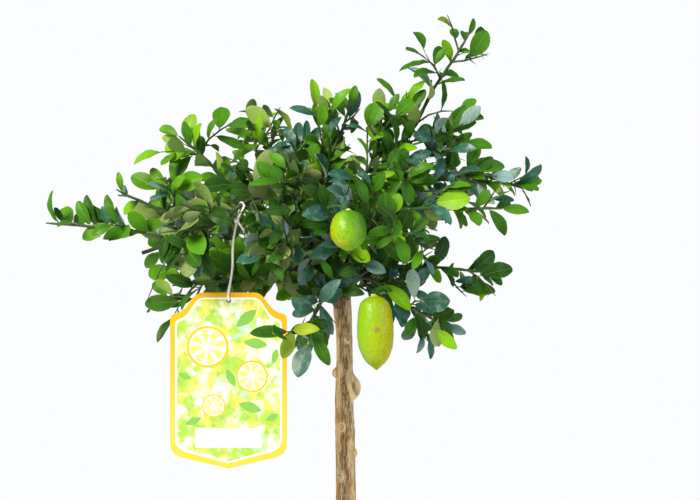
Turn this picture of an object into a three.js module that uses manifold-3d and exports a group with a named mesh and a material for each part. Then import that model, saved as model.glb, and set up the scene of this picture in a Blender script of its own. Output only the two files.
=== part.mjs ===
// A finger lime grown as a standard: a bare stem with a broad, airy crown, in a plain clay pot.
// Millimetres, +Z up. The origin is the centre of the pot's flat underside, and the crown's
// showiest side, with the hang tag, faces -Y.
import * as THREE from "three";
import { mergeVertices } from "three/addons/utils/BufferGeometryUtils.js";
import Module from "manifold-3d";

const wasm = await Module();
wasm.setup();

// ---------------------------------------------------------------------------- driving sizes

const GAP = 0.3; // clearance between pieces that touch on the real plant
const SEED = 222;
const UP = new THREE.Vector3(0, 0, 1);

const POT = {
  height: 185,
  rimRadius: 112,
  footRadius: 77,
  wall: 7,
  floor: 9,
  bandHeight: 34,
  bandProud: 5,
};
const SOIL_TOP = 166;
const POT_SIDES = 24;

// The stem's centre line and radius at heights above the soil: root flare, slight sway, swollen crotch.
const STEM_LINE = [
  { rise: 0, x: 0, y: 0, radius: 15 },
  { rise: 10, x: 0, y: 0, radius: 11.8 },
  { rise: 32, x: 0.8, y: 0.6, radius: 10.3 },
  { rise: 100, x: 2.2, y: 1.4, radius: 9.6 },
  { rise: 174, x: 1.7, y: 0.4, radius: 9 },
  { rise: 224, x: 0.8, y: -1.2, radius: 8.9 },
  { rise: 252, x: 0, y: -0.8, radius: 8.2 },
  { rise: 292, x: 0.6, y: -0.4, radius: 7.3 },
  { rise: 312, x: 0, y: 0, radius: 7.3 },
  { rise: 328, x: -1.3, y: 0.6, radius: 8.4 },
  { rise: 354, x: -2, y: 0, radius: 7.4 },
  { rise: 366, x: -2, y: 0, radius: 4.6 },
];
const STEM_SIDES = 10;
// Healed scars of shoots rubbed off the stem, at a rise above the soil and an azimuth from +X.
const STEM_KNOTS = [
  { rise: 274, azimuth: 182, radius: 4.4 },
  { rise: 262, azimuth: -44, radius: 7.6 },
  { rise: 304, azimuth: -58, radius: 2.8 },
  { rise: 205, azimuth: -8, radius: 3.4 },
  { rise: 185, azimuth: -118, radius: 3.6 },
  { rise: 118, azimuth: 40, radius: 3.6 },
  { rise: 70, azimuth: 160, radius: 3.8 },
];
const KNOT_SINK = 0.62; // how much of a knot's radius stays outside the bark

const LIMB_SIDES = 5;
const LIMB_STEPS = 4;
const TWIG_SIDES = 3;
const TWIG_RADIUS = [2.2, 0.95]; // main twig and side twig of a mass
const TWIG_TAPER = 0.35; // share of its radius that a twig loses by its end
const INTERNODE = 11;
const STRAIGHT_NODES = [2, 4]; // nodes between two bends of a main twig and a side twig
const SIDE_TWIG = [1.05]; // length of a side twig, as a share of its mass's reach
const PLACES = { lower: 0.38, twig: 0.6, upper: 0.86 }; // along an internode
const LEAF_LEAN = THREE.MathUtils.degToRad(56); // between a leaf and its twig
const END_LEAN = THREE.MathUtils.degToRad(24);
const LEAF = { length: 34, width: 18, tipWidth: 7, thickness: 1, widest: 0.58, keel: 0.3, sink: 0.5 };
const LEAF_TRIES = 12;
const LEAF_JITTER = 0.2;
const LEAF_OUTSET = 3; // where a leaf's outline starts outside its twig's axis
const LEAF_CLEARANCE = 1.2;
const LEAF_FACING = { up: 0.5, outward: 0.8, scatter: 0.8 };
const SPACE_MARGIN = 0.035; // share of a mass's reach kept between neighbouring masses

// Each bough, and the mass of foliage that it carries. A bough leaves the stem at a rise above the
// soil, or another bough at a share of its length, and ends at its tip. The mass fills the space
// within its reach of the line from there to its far end.
const LIMBS = [
  { name: "left_long", from: ["stem", 340], thick: [3.6, 1.7],
    tip: [-146, -35, 559], end: [-240, -30, 578], reach: 25 },
  { name: "upper_left", from: ["stem", 356], thick: [3.8, 1.8],
    tip: [-89, -20, 590], end: [-132, -25, 642], reach: 34 },
  { name: "front_left", from: ["stem", 346], thick: [3.4, 1.7],
    tip: [-86, -97, 582], end: [-115, -108, 557], reach: 40 },
  { name: "lower_left", from: ["stem", 326], thick: [2.9, 1.6],
    tip: [-49, -36, 531], end: [-133, -50, 521], reach: 31 },
  { name: "top_middle", from: ["stem", 362], thick: [3.6, 1.7],
    tip: [-17, -28, 599], end: [1, -35, 668], reach: 29 },
  { name: "leader", from: ["stem", 360], thick: [4, 1.7],
    tip: [52, 0, 640], end: [99, -5, 728], reach: 30 },
  { name: "right_upper", from: ["stem", 352], thick: [3.6, 1.8],
    tip: [65, -28, 607], end: [151, -35, 604], reach: 26 },
  { name: "right_middle", from: ["stem", 347], thick: [3.3, 1.7],
    tip: [45, -58, 581], end: [128, -65, 582], reach: 26 },
  { name: "right_lower", from: ["stem", 334], thick: [3.3, 1.8],
    tip: [34, -38, 534], end: [115, -42, 532], reach: 29 },
  { name: "lower_right", from: ["stem", 338], thick: [2.6, 1.5],
    tip: [29, -52, 519], end: [72, -62, 484], reach: 32 },
  { name: "low_spray", from: ["stem", 330], thick: [2.4, 1.4],
    tip: [-18, -55, 506], end: [-33, -72, 475], reach: 27 },
  { name: "front_middle", from: ["stem", 350], thick: [2.9, 1.6],
    tip: [-5, -66, 556], end: [-15, -96, 578], reach: 38 },
  { name: "back_left", from: ["stem", 350], thick: [3.8, 1.9],
    tip: [-85, 55, 577], end: [-138, 104, 574], reach: 50 },
  { name: "back_middle", from: ["stem", 358], thick: [3.6, 1.8],
    tip: [-20, 70, 597], end: [-25, 128, 612], reach: 54 },
  { name: "back_right", from: ["stem", 344], thick: [3.6, 1.8],
    tip: [40, 58, 584], end: [75, 110, 598], reach: 46 },
  { name: "back_low", from: ["stem", 332], thick: [2.9, 1.7],
    tip: [-20, 62, 537], end: [-38, 112, 536], reach: 40 },
  { name: "left_shoulder", from: ["left_long", 0.5], thick: [2.4, 1.5],
    tip: [-128, -8, 567], end: [-188, -15, 596], reach: 28 },
  { name: "crest_left", from: ["upper_left", 0.55], thick: [2.6, 1.6],
    tip: [-73, 34, 589], end: [-79, 42, 648], reach: 37 },
  { name: "crest_middle", from: ["upper_left", 0.35], thick: [2.5, 1.5],
    tip: [-41, 2, 588], end: [-36, -4, 626], reach: 35 },
  { name: "front_inner", from: ["front_left", 0.4], thick: [2.2, 1.4],
    tip: [-31, -74, 548], end: [-66, -104, 548], reach: 38 },
  { name: "top_right", from: ["leader", 0.35], thick: [2.6, 1.6],
    tip: [15, -32, 604], end: [39, -34, 656], reach: 36 },
  { name: "right_shoulder", from: ["leader", 0.6], thick: [2.4, 1.5],
    tip: [66, -12, 625], end: [93, -16, 658], reach: 31 },
  { name: "front_right", from: ["right_middle", 0.4], thick: [2.3, 1.4],
    tip: [27, -78, 559], end: [47, -98, 559], reach: 34 },
];
const BOUGH_LIFT = 0.45; // how strongly a bough starts out upwards
const BOUGH_EASE = 0.36; // share of the chord that each end's tangent holds

// Fruits, hung from the mass that carries them. A finger fruit is long, a young one nearly round.
const FRUITS = [
  { name: "finger", mass: "lower_right", top: [25, -82, 510], bottom: [27, -83, 449], radius: 15.2 },
  { name: "round", mass: "front_middle", top: [4, -126, 579], bottom: [4, -131, 547], radius: 14.6 },
  { name: "back_finger", mass: "back_low", top: [26, 140, 500], bottom: [28, 142, 444], radius: 13.5 },
  { name: "back_young", mass: "back_middle", top: [-50, 176, 590], bottom: [-51, 180, 560], radius: 12.5 },
];
const FRUIT_SIDES = 9;
// Half-profile of a fruit from its stalk to its blossom end: share of the length, share of the radius.
const FRUIT_PROFILE = [
  [0.0, 0.0],
  [0.03, 0.5],
  [0.09, 0.78],
  [0.2, 0.91],
  [0.46, 1.0],
  [0.7, 0.92],
  [0.82, 0.73],
  [0.93, 0.36],
  [1.0, 0.0],
];
const STALK_RADIUS = 1.3;
const FRUIT_CLEARANCE = 3;
const OPEN_FRONT = 60; // leaves keep this far out of the way in front of a fruit or the string

const TAG = {
  x: -93.5,
  top: 513,
  width: 95,
  height: 143,
  thickness: 1,
  neckWidth: 43,
  shoulder: 17,
  cornerRadius: 9,
  point: 11,
  holeRadius: 2.1,
  holeDrop: 6.7,
  clearance: 4,
};
const STRING = {
  bough: "front_left",
  at: 0.86, // share of the bough's last straight
  radius: 0.7,
  sides: 4,
  knotRadius: 1.9,
  knotDrop: 12,
  tail: [9, -1, -15],
  slack: 0.7,
  loopRadius: 3.34,
  clearance: 5,
};

const COLOURS = {
  bark: 0x9a7c55,
  bough: 0x3f5136,
  leaf: 0x3c7a2c,
  clay: 0xb0633f,
  soil: 0x3a2a20,
  card: 0xf2c93a,
  string: 0xeeeae0,
};

// ---------------------------------------------------------------------------- small tools

const vec = (array) => new THREE.Vector3(...array);

// A repeatable stream of random numbers.
class Random {
  constructor(seed) {
    this.state = seed >>> 0;
  }

  next() {
    this.state = (this.state + 0x6d2b79f5) >>> 0;
    let t = this.state;
    t = Math.imul(t ^ (t >>> 15), t | 1);
    t ^= t + Math.imul(t ^ (t >>> 7), t | 61);
    return ((t ^ (t >>> 14)) >>> 0) / 4294967296;
  }

  spread(size) {
    return (this.next() * 2 - 1) * size;
  }

  vector(size) {
    const x = this.spread(size);
    const y = this.spread(size);
    const z = this.spread(size);
    return new THREE.Vector3(x, y, z);
  }
}

function toSolid(geometry) {
  const bare = geometry.clone();
  bare.deleteAttribute("normal");
  bare.deleteAttribute("uv");
  const merged = mergeVertices(bare, 1e-4);
  return new wasm.Manifold(
    new wasm.Mesh({
      numProp: 3,
      vertProperties: new Float32Array(merged.attributes.position.array),
      triVerts: new Uint32Array(merged.index.array),
    }),
  );
}

function toGeometry(solid) {
  const mesh = solid.getMesh();
  const geometry = new THREE.BufferGeometry();
  geometry.setAttribute("position", new THREE.BufferAttribute(mesh.vertProperties, 3));
  geometry.setIndex(new THREE.BufferAttribute(mesh.triVerts, 1));
  geometry.computeVertexNormals();
  return geometry;
}

// The largest closed body of a solid, with any sealed hollow filled.
function largestBody(solid) {
  const bodies = solid.decompose().filter((body) => body.volume() > 0);
  bodies.sort((a, b) => b.volume() - a.volume());
  return bodies[0];
}

function fuse(solids) {
  return solids.reduce((whole, piece) => whole.add(piece));
}

// A vector at right angles to a direction, turned about it by an angle.
function sideways(direction, angle) {
  const helper = Math.abs(direction.z) < 0.9 ? UP : new THREE.Vector3(1, 0, 0);
  const side = new THREE.Vector3().crossVectors(direction, helper).normalize();
  return side.applyAxisAngle(direction, angle);
}

// A closed tube through points, with a radius at each, and flat ends square to its ends.
function sweep(points, radii, sides) {
  const last = points.length - 1;
  const positions = [];
  const faces = [];
  let side = null;
  points.forEach((point, i) => {
    const before = points[Math.max(i - 1, 0)];
    const after = points[Math.min(i + 1, last)];
    const along = new THREE.Vector3().subVectors(after, before).normalize();
    side = side ? side.clone().addScaledVector(along, -side.dot(along)).normalize() : sideways(along, 0);
    const across = new THREE.Vector3().crossVectors(along, side);
    for (let k = 0; k < sides; k++) {
      const angle = (2 * Math.PI * k) / sides;
      const place = point.clone();
      place.addScaledVector(side, Math.cos(angle) * radii[i]);
      place.addScaledVector(across, Math.sin(angle) * radii[i]);
      positions.push(place.x, place.y, place.z);
    }
  });
  for (let i = 0; i < last; i++) {
    for (let k = 0; k < sides; k++) {
      const a = i * sides + k;
      const b = i * sides + ((k + 1) % sides);
      faces.push(a, b, a + sides, b, b + sides, a + sides);
    }
  }
  for (let k = 1; k < sides - 1; k++) {
    faces.push(0, k + 1, k);
    faces.push(last * sides, last * sides + k, last * sides + k + 1);
  }
  const geometry = new THREE.BufferGeometry();
  geometry.setAttribute("position", new THREE.Float32BufferAttribute(positions, 3));
  geometry.setIndex(faces);
  return toSolid(geometry);
}

// ---------------------------------------------------------------------------- pot and soil

function potSolid() {
  const { height, rimRadius, footRadius, wall, floor, bandHeight, bandProud } = POT;
  const bodyTop = rimRadius - bandProud;
  const bandFoot = height - bandHeight;
  const bodyAt = (z) => footRadius + ((bodyTop - footRadius) * z) / height;
  const profile = [
    [0, 0],
    [footRadius - 2, 0],
    [footRadius, 2],
    [bodyAt(bandFoot), bandFoot],
    [rimRadius - 2, bandFoot + 2],
    [rimRadius, height - 3],
    [rimRadius - 2.5, height],
    [bodyTop - wall + 2.5, height],
    [bodyTop - wall, height - 2.5],
    [bodyAt(floor) - wall, floor],
    [0, floor],
  ].map(([r, z]) => new THREE.Vector2(r, z));
  return toSolid(new THREE.LatheGeometry(profile, POT_SIDES).rotateX(Math.PI / 2));
}

function soilSolid() {
  const { height, rimRadius, footRadius, wall, floor, bandProud } = POT;
  const inside = (z) => footRadius + ((rimRadius - bandProud - footRadius) * z) / height - wall - 2 * GAP;
  const profile = [
    [0, floor + GAP],
    [inside(floor), floor + GAP],
    [inside(SOIL_TOP), SOIL_TOP],
    [0, SOIL_TOP],
  ].map(([r, z]) => new THREE.Vector2(r, z));
  return toSolid(new THREE.LatheGeometry(profile, POT_SIDES).rotateX(Math.PI / 2));
}

// ---------------------------------------------------------------------------- stem and boughs

const stemBase = SOIL_TOP + GAP;
const stemPoints = STEM_LINE.map(({ rise, x, y }) => new THREE.Vector3(x, y, stemBase + rise));
const stemRadii = STEM_LINE.map(({ radius }) => radius);

// The stem's centre line and radius at a rise above the soil.
function stemAt(rise) {
  const above = STEM_LINE.findIndex((row) => row.rise >= rise);
  const next = above < 1 ? STEM_LINE.length - 1 : above;
  const low = STEM_LINE[next - 1];
  const high = STEM_LINE[next];
  const share = (rise - low.rise) / (high.rise - low.rise);
  const point = stemPoints[next - 1].clone().lerp(stemPoints[next], share);
  return { point, radius: low.radius + (high.radius - low.radius) * share };
}

function stemSolid(extra = 0) {
  const trunk = sweep(
    stemPoints,
    stemRadii.map((r) => r + extra),
    STEM_SIDES,
  );
  if (extra) return trunk;
  const knots = STEM_KNOTS.map(({ rise, azimuth, radius }) => {
    const { point, radius: bark } = stemAt(rise);
    const angle = THREE.MathUtils.degToRad(azimuth);
    const out = new THREE.Vector3(Math.cos(angle), Math.sin(angle), 0);
    const centre = point.clone().addScaledVector(out, bark - radius * (1 - KNOT_SINK));
    const ball = new THREE.SphereGeometry(radius, 6, 4).rotateX(Math.PI / 2).scale(1, 1, 1.2);
    return toSolid(ball.translate(centre.x, centre.y, centre.z));
  });
  return fuse([trunk, ...knots]);
}

// A bough's centre line: it starts upwards from what carries it and ends in line with its foliage.
function boughLine(limb, start) {
  const tip = vec(limb.tip);
  const chord = tip.distanceTo(start);
  const away = new THREE.Vector3().subVectors(tip, start).normalize();
  const first = away.clone().addScaledVector(UP, BOUGH_LIFT).normalize();
  const last = vec(limb.end).sub(tip).normalize();
  const curve = new THREE.CubicBezierCurve3(
    start,
    start.clone().addScaledVector(first, chord * BOUGH_EASE),
    tip.clone().addScaledVector(last, -chord * BOUGH_EASE),
    tip,
  );
  const points = curve.getPoints(LIMB_STEPS);
  const [thick, thin] = limb.thick;
  const radii = points.map((_, i) => thick + ((thin - thick) * i) / LIMB_STEPS);
  return { name: limb.name, points, radii, curve };
}

const boughs = new Map();
for (const limb of LIMBS) {
  const [carrier, place] = limb.from;
  const start = carrier === "stem" ? stemAt(place).point : boughs.get(carrier).curve.getPoint(place);
  boughs.set(limb.name, boughLine(limb, start));
}

// Each bough is cut clear of the stem and of the boughs before it.
function boughSolids() {
  const cutters = [stemSolid(GAP)];
  return [...boughs.values()].map((line) => {
    const whole = sweep(line.points, line.radii, LIMB_SIDES);
    const solid = largestBody(cutters.reduce((left, cutter) => left.subtract(cutter), whole));
    const wider = line.radii.map((r) => r + GAP);
    cutters.push(sweep(line.points, wider, LIMB_SIDES));
    return { name: line.name, solid };
  });
}

// ---------------------------------------------------------------------------- where foliage may go

const spaces = LIMBS.map((limb) => ({
  name: limb.name,
  line: new THREE.Line3(vec(limb.tip), vec(limb.end)),
  reach: limb.reach,
}));

const nearest = new THREE.Vector3();

// How far into a mass's space a point lies: 0 on its line, 1 at its reach.
function depthIn({ line, reach }, point) {
  return line.closestPointToPoint(point, true, nearest).distanceTo(point) / reach;
}

function inOwnSpace(own, point) {
  const depth = depthIn(own, point);
  const deeper = (other) => other === own || depth + SPACE_MARGIN < depthIn(other, point);
  return depth < 1 && spaces.every(deeper);
}

const rod = (a, b, radius) => ({ line: new THREE.Line3(a, b), radius });

const limbLines = [{ points: stemPoints, radii: stemRadii }, ...boughs.values()];
const limbRods = limbLines.flatMap(({ points, radii }) =>
  points.slice(1).map((b, i) => rod(points[i], b, Math.max(radii[i], radii[i + 1]))),
);

const fruitAxes = FRUITS.map((fruit) => ({ ...fruit, top: vec(fruit.top), bottom: vec(fruit.bottom) }));

// Each fruit hangs free, and stays in view from its own side of the crown.
const fruitRods = fruitAxes.flatMap(({ top, bottom, radius }) => {
  const outward = new THREE.Vector3(0, Math.sign(top.y) * OPEN_FRONT, 0);
  const views = [0.25, 0.75].map((share) => top.clone().lerp(bottom, share));
  return [
    rod(top, bottom, radius + FRUIT_CLEARANCE),
    ...views.map((point) => rod(point, point.clone().add(outward), radius * 0.75)),
  ];
});

const [hookBefore, hookTip] = boughs.get(STRING.bough).points.slice(-2);
const hookPoint = hookBefore.clone().lerp(hookTip, STRING.at);
const tagHole = new THREE.Vector3(TAG.x, hookPoint.y, TAG.top - TAG.holeDrop); // hangs below its hook
const stringRods = [0, -OPEN_FRONT].map((out) => {
  const shift = new THREE.Vector3(0, out, 0);
  return rod(hookPoint.clone().add(shift), tagHole.clone().add(shift), STRING.clearance);
});
const rods = [...limbRods, ...fruitRods, ...stringRods];

function besideTag(point) {
  const { clearance, width, height, top } = TAG;
  const across = Math.abs(point.x - tagHole.x) > width / 2 + clearance;
  const behind = point.y > tagHole.y + clearance;
  return across || behind || point.z > top + clearance || point.z < top - height - clearance;
}

// Whether a straight piece of twig keeps clear of every limb, fruit, the string and the tag.
function twigClears(line, radius) {
  const free = (other) => line.distanceSqToLine3(other.line) > (other.radius + radius + GAP) ** 2;
  return rods.every(free) && besideTag(line.end);
}

// ---------------------------------------------------------------------------- leaves and twigs

// A point of a leaf: so far along its rib, across it and above it.
function leafPoint({ foot, along, across, face }, distance, side, rise) {
  const point = foot.clone().addScaledVector(along, distance);
  return point.addScaledVector(across, side).addScaledVector(face, rise);
}

// A leaf as a blade of eight faces: blunt-tipped, broadest past its middle, with a low keel
// under its rib, its foot sunk in the twig.
function leafSolid(leaf) {
  const { length, width, thickness, widest, keel, tipWidth, sink } = LEAF;
  const long = length * leaf.size;
  const half = (width * leaf.size) / 2;
  const blunt = (tipWidth * leaf.size) / 2;
  const points = [
    leafPoint(leaf, -sink, 0, 0),
    leafPoint(leaf, long * widest, half, 0),
    leafPoint(leaf, long, blunt, 0),
    leafPoint(leaf, long, -blunt, 0),
    leafPoint(leaf, long * widest, -half, 0),
    leafPoint(leaf, long * keel, 0, -thickness),
  ];
  const geometry = new THREE.BufferGeometry().setFromPoints(points);
  geometry.setIndex([0, 4, 1, 1, 4, 3, 1, 3, 2, 5, 0, 1, 5, 1, 2, 5, 2, 3, 5, 3, 4, 5, 4, 0]);
  return toSolid(geometry);
}

// A leaf's outline from just outside its twig, as corners, edges and the triangles between them.
function outlineLeaf(leaf) {
  const { length, width, widest, tipWidth } = LEAF;
  const long = length * leaf.size;
  const half = (width * leaf.size) / 2;
  const blunt = (tipWidth * leaf.size) / 2;
  const corners = [
    leafPoint(leaf, LEAF_OUTSET, 0, 0),
    leafPoint(leaf, long * widest, half, 0),
    leafPoint(leaf, long, blunt, 0),
    leafPoint(leaf, long, -blunt, 0),
    leafPoint(leaf, long * widest, -half, 0),
  ];
  const [base, left, leftTip, rightTip, right] = corners;
  leaf.corners = corners;
  leaf.edges = corners.map((corner, i) => new THREE.Line3(corner, corners[(i + 1) % corners.length]));
  leaf.triangles = [
    [base, left, right],
    [left, leftTip, right],
    [leftTip, rightTip, right],
  ];
  return leaf;
}

const ray = new THREE.Ray();
const hit = new THREE.Vector3();

function lineCuts({ start, end }, triangles) {
  const length = start.distanceTo(end);
  ray.set(start, new THREE.Vector3().subVectors(end, start).divideScalar(length));
  return triangles.some(([p, q, r]) => {
    const found = ray.intersectTriangle(p, q, r, false, hit);
    return found && hit.distanceTo(start) < length;
  });
}

const outlineCuts = (one, other) => one.edges.some((edge) => lineCuts(edge, other.triangles));
const leavesCross = (one, other) => outlineCuts(one, other) || outlineCuts(other, one);

// A leaf fits if its outline stays in its mass's space and clear of limbs, fruits, string and tag.
function leafFits(space, leaf) {
  const inside = leaf.corners.every((corner) => inOwnSpace(space, corner) && besideTag(corner));
  return inside && rods.every((limb) => leafClears(leaf, limb));
}

function leafClears(leaf, { line, radius }) {
  const least = (radius + LEAF_CLEARANCE) ** 2;
  const clear = leaf.edges.every((edge) => edge.distanceSqToLine3(line) > least);
  return clear && !lineCuts(line, leaf.triangles);
}

const crownMiddle = new THREE.Vector3(-20, 30, 560);

// The direction out of one of a three-sided twig's flats.
function outOfFlat({ way, corner }, rank, jitter) {
  const level = corner.clone().addScaledVector(way, -corner.dot(way)).normalize();
  return level.applyAxisAngle(way, Math.PI / 3 + (rank * 2 * Math.PI) / 3 + jitter);
}

// The blade's upper side looks up and outwards from the crown, as leaves turn to the light.
function leafPose(random, foot, twig, rank, lean) {
  const out = outOfFlat(twig, rank, random.spread(LEAF_JITTER));
  const along = twig.way.clone().multiplyScalar(Math.cos(lean)).addScaledVector(out, Math.sin(lean));
  const light = UP.clone().multiplyScalar(LEAF_FACING.up);
  light.addScaledVector(foot.clone().sub(crownMiddle).normalize(), LEAF_FACING.outward);
  light.add(random.vector(LEAF_FACING.scatter));
  const face = light.addScaledVector(along, -light.dot(along)).normalize();
  const across = new THREE.Vector3().crossVectors(face, along);
  return { foot, along, across, face, size: 1 + random.spread(0.16) };
}

class Mass {
  constructor(limb, index) {
    this.space = spaces[index];
    this.random = new Random(SEED + 97 * index);
    this.twigs = [];
    this.leaves = [];
    this.rank = Math.floor(this.random.next() * 3);
    const bough = boughs.get(limb.name).points;
    this.growStem(new THREE.Vector3().subVectors(bough.at(-1), bough.at(-2)).normalize());
  }

  // The main twig carries on from its bough towards the far end of the space.
  growStem(way) {
    const { line, reach } = this.space;
    const start = line.start.clone().addScaledVector(way, GAP);
    this.growTwig(start, way, line.distance() + reach * 0.35, 0);
  }

  // A twig grows node by node, with a slight bend now and then, until it would leave the space,
  // touch a limb or cut a leaf.
  growTwig(start, way, length, level) {
    const nodes = [start];
    const twig = { way: way.clone(), corner: sideways(way, 0), level };
    const steps = Math.max(2, Math.round(length / INTERNODE));
    const straight = STRAIGHT_NODES[level];
    for (let i = 1; i <= steps; i++) {
      const next = nodes[i - 1].clone().addScaledVector(twig.way, INTERNODE);
      const leaving = level === 0 && i === 1;
      if (!this.hasRoom(new THREE.Line3(nodes[i - 1], next), TWIG_RADIUS[level], leaving)) break;
      nodes.push(next);
      if (i % straight === 0) this.bend(twig.way, next, level);
    }
    const last = nodes.length - 1;
    if (last < 1) return;
    const bends = nodes.filter((_, i) => i % straight === 0 || i === last);
    const thick = TWIG_RADIUS[level];
    const radii = bends.map((_, i) => thick * (1 - (TWIG_TAPER * i) / (bends.length - 1)));
    this.twigs.push({ points: bends, radii });
    for (let i = 1; i <= last; i++) {
      twig.way = new THREE.Vector3().subVectors(nodes[i], nodes[i - 1]).normalize();
      this.dressNode(nodes[i - 1], nodes[i], twig, i === last);
    }
  }

  hasRoom(line, radius, leaving) {
    if (!inOwnSpace(this.space, line.end) || !(leaving || twigClears(line, radius))) return false;
    return this.leaves.every((leaf) => !lineCuts(line, leaf.triangles));
  }

  // A main twig turns towards the far end of its space, and a side twig turns up a little.
  bend(way, place, level) {
    const ahead = new THREE.Vector3().subVectors(this.space.line.end, place);
    if (level === 0 && ahead.length() > 2 * INTERNODE) way.addScaledVector(ahead.normalize(), 0.6);
    if (level > 0) way.addScaledVector(UP, 0.06);
    way.normalize().add(this.random.vector(0.17)).normalize();
  }

  // Each internode has two leaves, and on a main twig a side twig between them.
  dressNode(before, point, twig, ends) {
    const { random, space } = this;
    this.rank += 1;
    if (twig.level < SIDE_TWIG.length && !ends) {
      const lean = THREE.MathUtils.degToRad(52 + random.spread(12));
      const out = outOfFlat(twig, this.rank + 1, 0);
      const branch = twig.way.clone().multiplyScalar(Math.cos(lean)).addScaledVector(out, Math.sin(lean));
      const start = before.clone().lerp(point, PLACES.twig);
      this.growTwig(start, branch.normalize(), space.reach * SIDE_TWIG[twig.level], twig.level + 1);
    }
    this.addLeaf(before.clone().lerp(point, PLACES.upper), twig, this.rank, ends ? END_LEAN : LEAF_LEAN);
    this.addLeaf(before.clone().lerp(point, PLACES.lower), twig, this.rank + 2, LEAF_LEAN);
  }

  addLeaf(point, twig, rank, lean) {
    for (let attempt = 0; attempt < LEAF_TRIES; attempt++) {
      const leaf = outlineLeaf(leafPose(this.random, point, twig, rank + attempt, lean));
      if (this.clearOfOwn(leaf) && leafFits(this.space, leaf)) {
        this.leaves.push(leaf);
        return;
      }
    }
  }

  clearOfOwn(leaf) {
    const twigsClear = this.twigs.every(({ points }) =>
      points.slice(1).every((b, i) => !lineCuts(new THREE.Line3(points[i], b), leaf.triangles)),
    );
    return twigsClear && this.leaves.every((other) => !leavesCross(leaf, other));
  }

  solid() {
    const twigs = this.twigs.map(({ points, radii }) => sweep(points, radii, TWIG_SIDES));
    const leaves = this.leaves.map(leafSolid);
    const fruits = fruitAxes.filter((fruit) => fruit.mass === this.space.name);
    const hung = fruits.flatMap((fruit) => [fruitSolid(fruit), this.stalkSolid(fruit)]);
    return largestBody(fuse([...twigs, ...leaves, ...hung]));
  }

  // A stalk from the nearest twig bend to the top of a fruit.
  stalkSolid({ top, bottom }) {
    const bends = this.twigs.flatMap(({ points }) => points);
    bends.sort((p, q) => p.distanceTo(top) - q.distanceTo(top));
    const elbow = bends[0].clone().lerp(top, 0.6);
    elbow.z = Math.max(elbow.z, top.z + 4);
    const points = [bends[0], elbow, top.clone().lerp(bottom, 0.08)];
    const radii = points.map(() => STALK_RADIUS);
    return sweep(points, radii, TWIG_SIDES);
  }
}

function fruitSolid({ top, bottom, radius }) {
  const length = top.distanceTo(bottom);
  const profile = FRUIT_PROFILE.map(([along, out]) => new THREE.Vector2(out * radius, along * length));
  const geometry = new THREE.LatheGeometry(profile, FRUIT_SIDES);
  const axis = new THREE.Vector3().subVectors(bottom, top).normalize();
  geometry.applyQuaternion(new THREE.Quaternion().setFromUnitVectors(new THREE.Vector3(0, 1, 0), axis));
  return toSolid(geometry.translate(top.x, top.y, top.z));
}

// ---------------------------------------------------------------------------- tag and string

// A plaque outline: a narrow neck, hollow shoulders, straight sides and a blunt point below.
function tagSolid() {
  const { width, height, thickness, neckWidth, shoulder, cornerRadius, point } = TAG;
  const half = width / 2;
  const neck = neckWidth / 2;
  const foot = -height;
  const outline = new THREE.Shape();
  outline.moveTo(-neck, 0);
  outline.lineTo(neck, 0);
  outline.bezierCurveTo(neck + 9, 0, neck + 10, -shoulder + 2, half - 4, -shoulder);
  outline.quadraticCurveTo(half, -shoulder - 1, half, -shoulder - 6);
  outline.lineTo(half, foot + point + cornerRadius);
  outline.quadraticCurveTo(half, foot + point + 1, half - cornerRadius, foot + point - 2);
  outline.lineTo(0, foot);
  outline.lineTo(-half + cornerRadius, foot + point - 2);
  outline.quadraticCurveTo(-half, foot + point + 1, -half, foot + point + cornerRadius);
  outline.lineTo(-half, -shoulder - 6);
  outline.quadraticCurveTo(-half, -shoulder - 1, -half + 4, -shoulder);
  outline.bezierCurveTo(-neck - 10, -shoulder + 2, -neck - 9, 0, -neck, 0);
  const extrusion = { depth: thickness, bevelEnabled: false, curveSegments: 4 };
  const plate = new THREE.ExtrudeGeometry(outline, extrusion);
  const drill = new THREE.CylinderGeometry(TAG.holeRadius, TAG.holeRadius, thickness * 3, 12);
  plate.rotateX(Math.PI / 2).translate(tagHole.x, tagHole.y + thickness / 2, TAG.top);
  drill.translate(tagHole.x, tagHole.y, tagHole.z);
  return toSolid(plate).subtract(toSolid(drill));
}

// A string looped over its bough, knotted below it, and run through the tag's hole and back.
function stringSolid() {
  const { radius, sides, knotRadius, knotDrop, tail, slack, loopRadius } = STRING;
  const along = new THREE.Vector3().subVectors(hookTip, hookBefore).normalize();
  const side = new THREE.Vector3().crossVectors(UP, along).normalize();
  const over = new THREE.Vector3().crossVectors(along, side);
  const knot = hookPoint.clone().addScaledVector(UP, -knotDrop);
  const hook = [0, 45, 90, 135, 180].map((degrees) => {
    const angle = THREE.MathUtils.degToRad(degrees);
    const place = hookPoint.clone().addScaledVector(side, Math.cos(angle) * loopRadius);
    return place.addScaledVector(over, Math.sin(angle) * loopRadius);
  });
  const apart = TAG.thickness / 2 + radius + slack;
  const bottom = tagHole.z + TAG.holeRadius - radius - GAP - 0.1;
  const throughHole = [
    [-apart, 5],
    [-apart, 0.6],
    [0, 0],
    [apart, 0.6],
    [apart, 5],
  ].map(([out, rise]) => new THREE.Vector3(tagHole.x, tagHole.y + out, bottom + rise));
  const tube = (points) => {
    const radii = points.map(() => radius);
    return sweep(points, radii, sides);
  };
  const ball = toSolid(new THREE.SphereGeometry(knotRadius, 8, 6).translate(knot.x, knot.y, knot.z));
  const end = knot.clone().add(vec(tail));
  const strands = [tube([knot, ...hook, knot]), tube([knot, ...throughHole, knot]), tube([knot, end])];
  return largestBody(fuse([...strands, ball]));
}

// ---------------------------------------------------------------------------- the plant

const masses = LIMBS.map((limb, index) => new Mass(limb, index));

const plant = new THREE.Group();

function finish(colour, roughness) {
  return new THREE.MeshStandardMaterial({ color: colour, roughness, metalness: 0 });
}

function addNode(name, solid, material) {
  const mesh = new THREE.Mesh(toGeometry(solid), material);
  mesh.name = name;
  plant.add(mesh);
}

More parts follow.
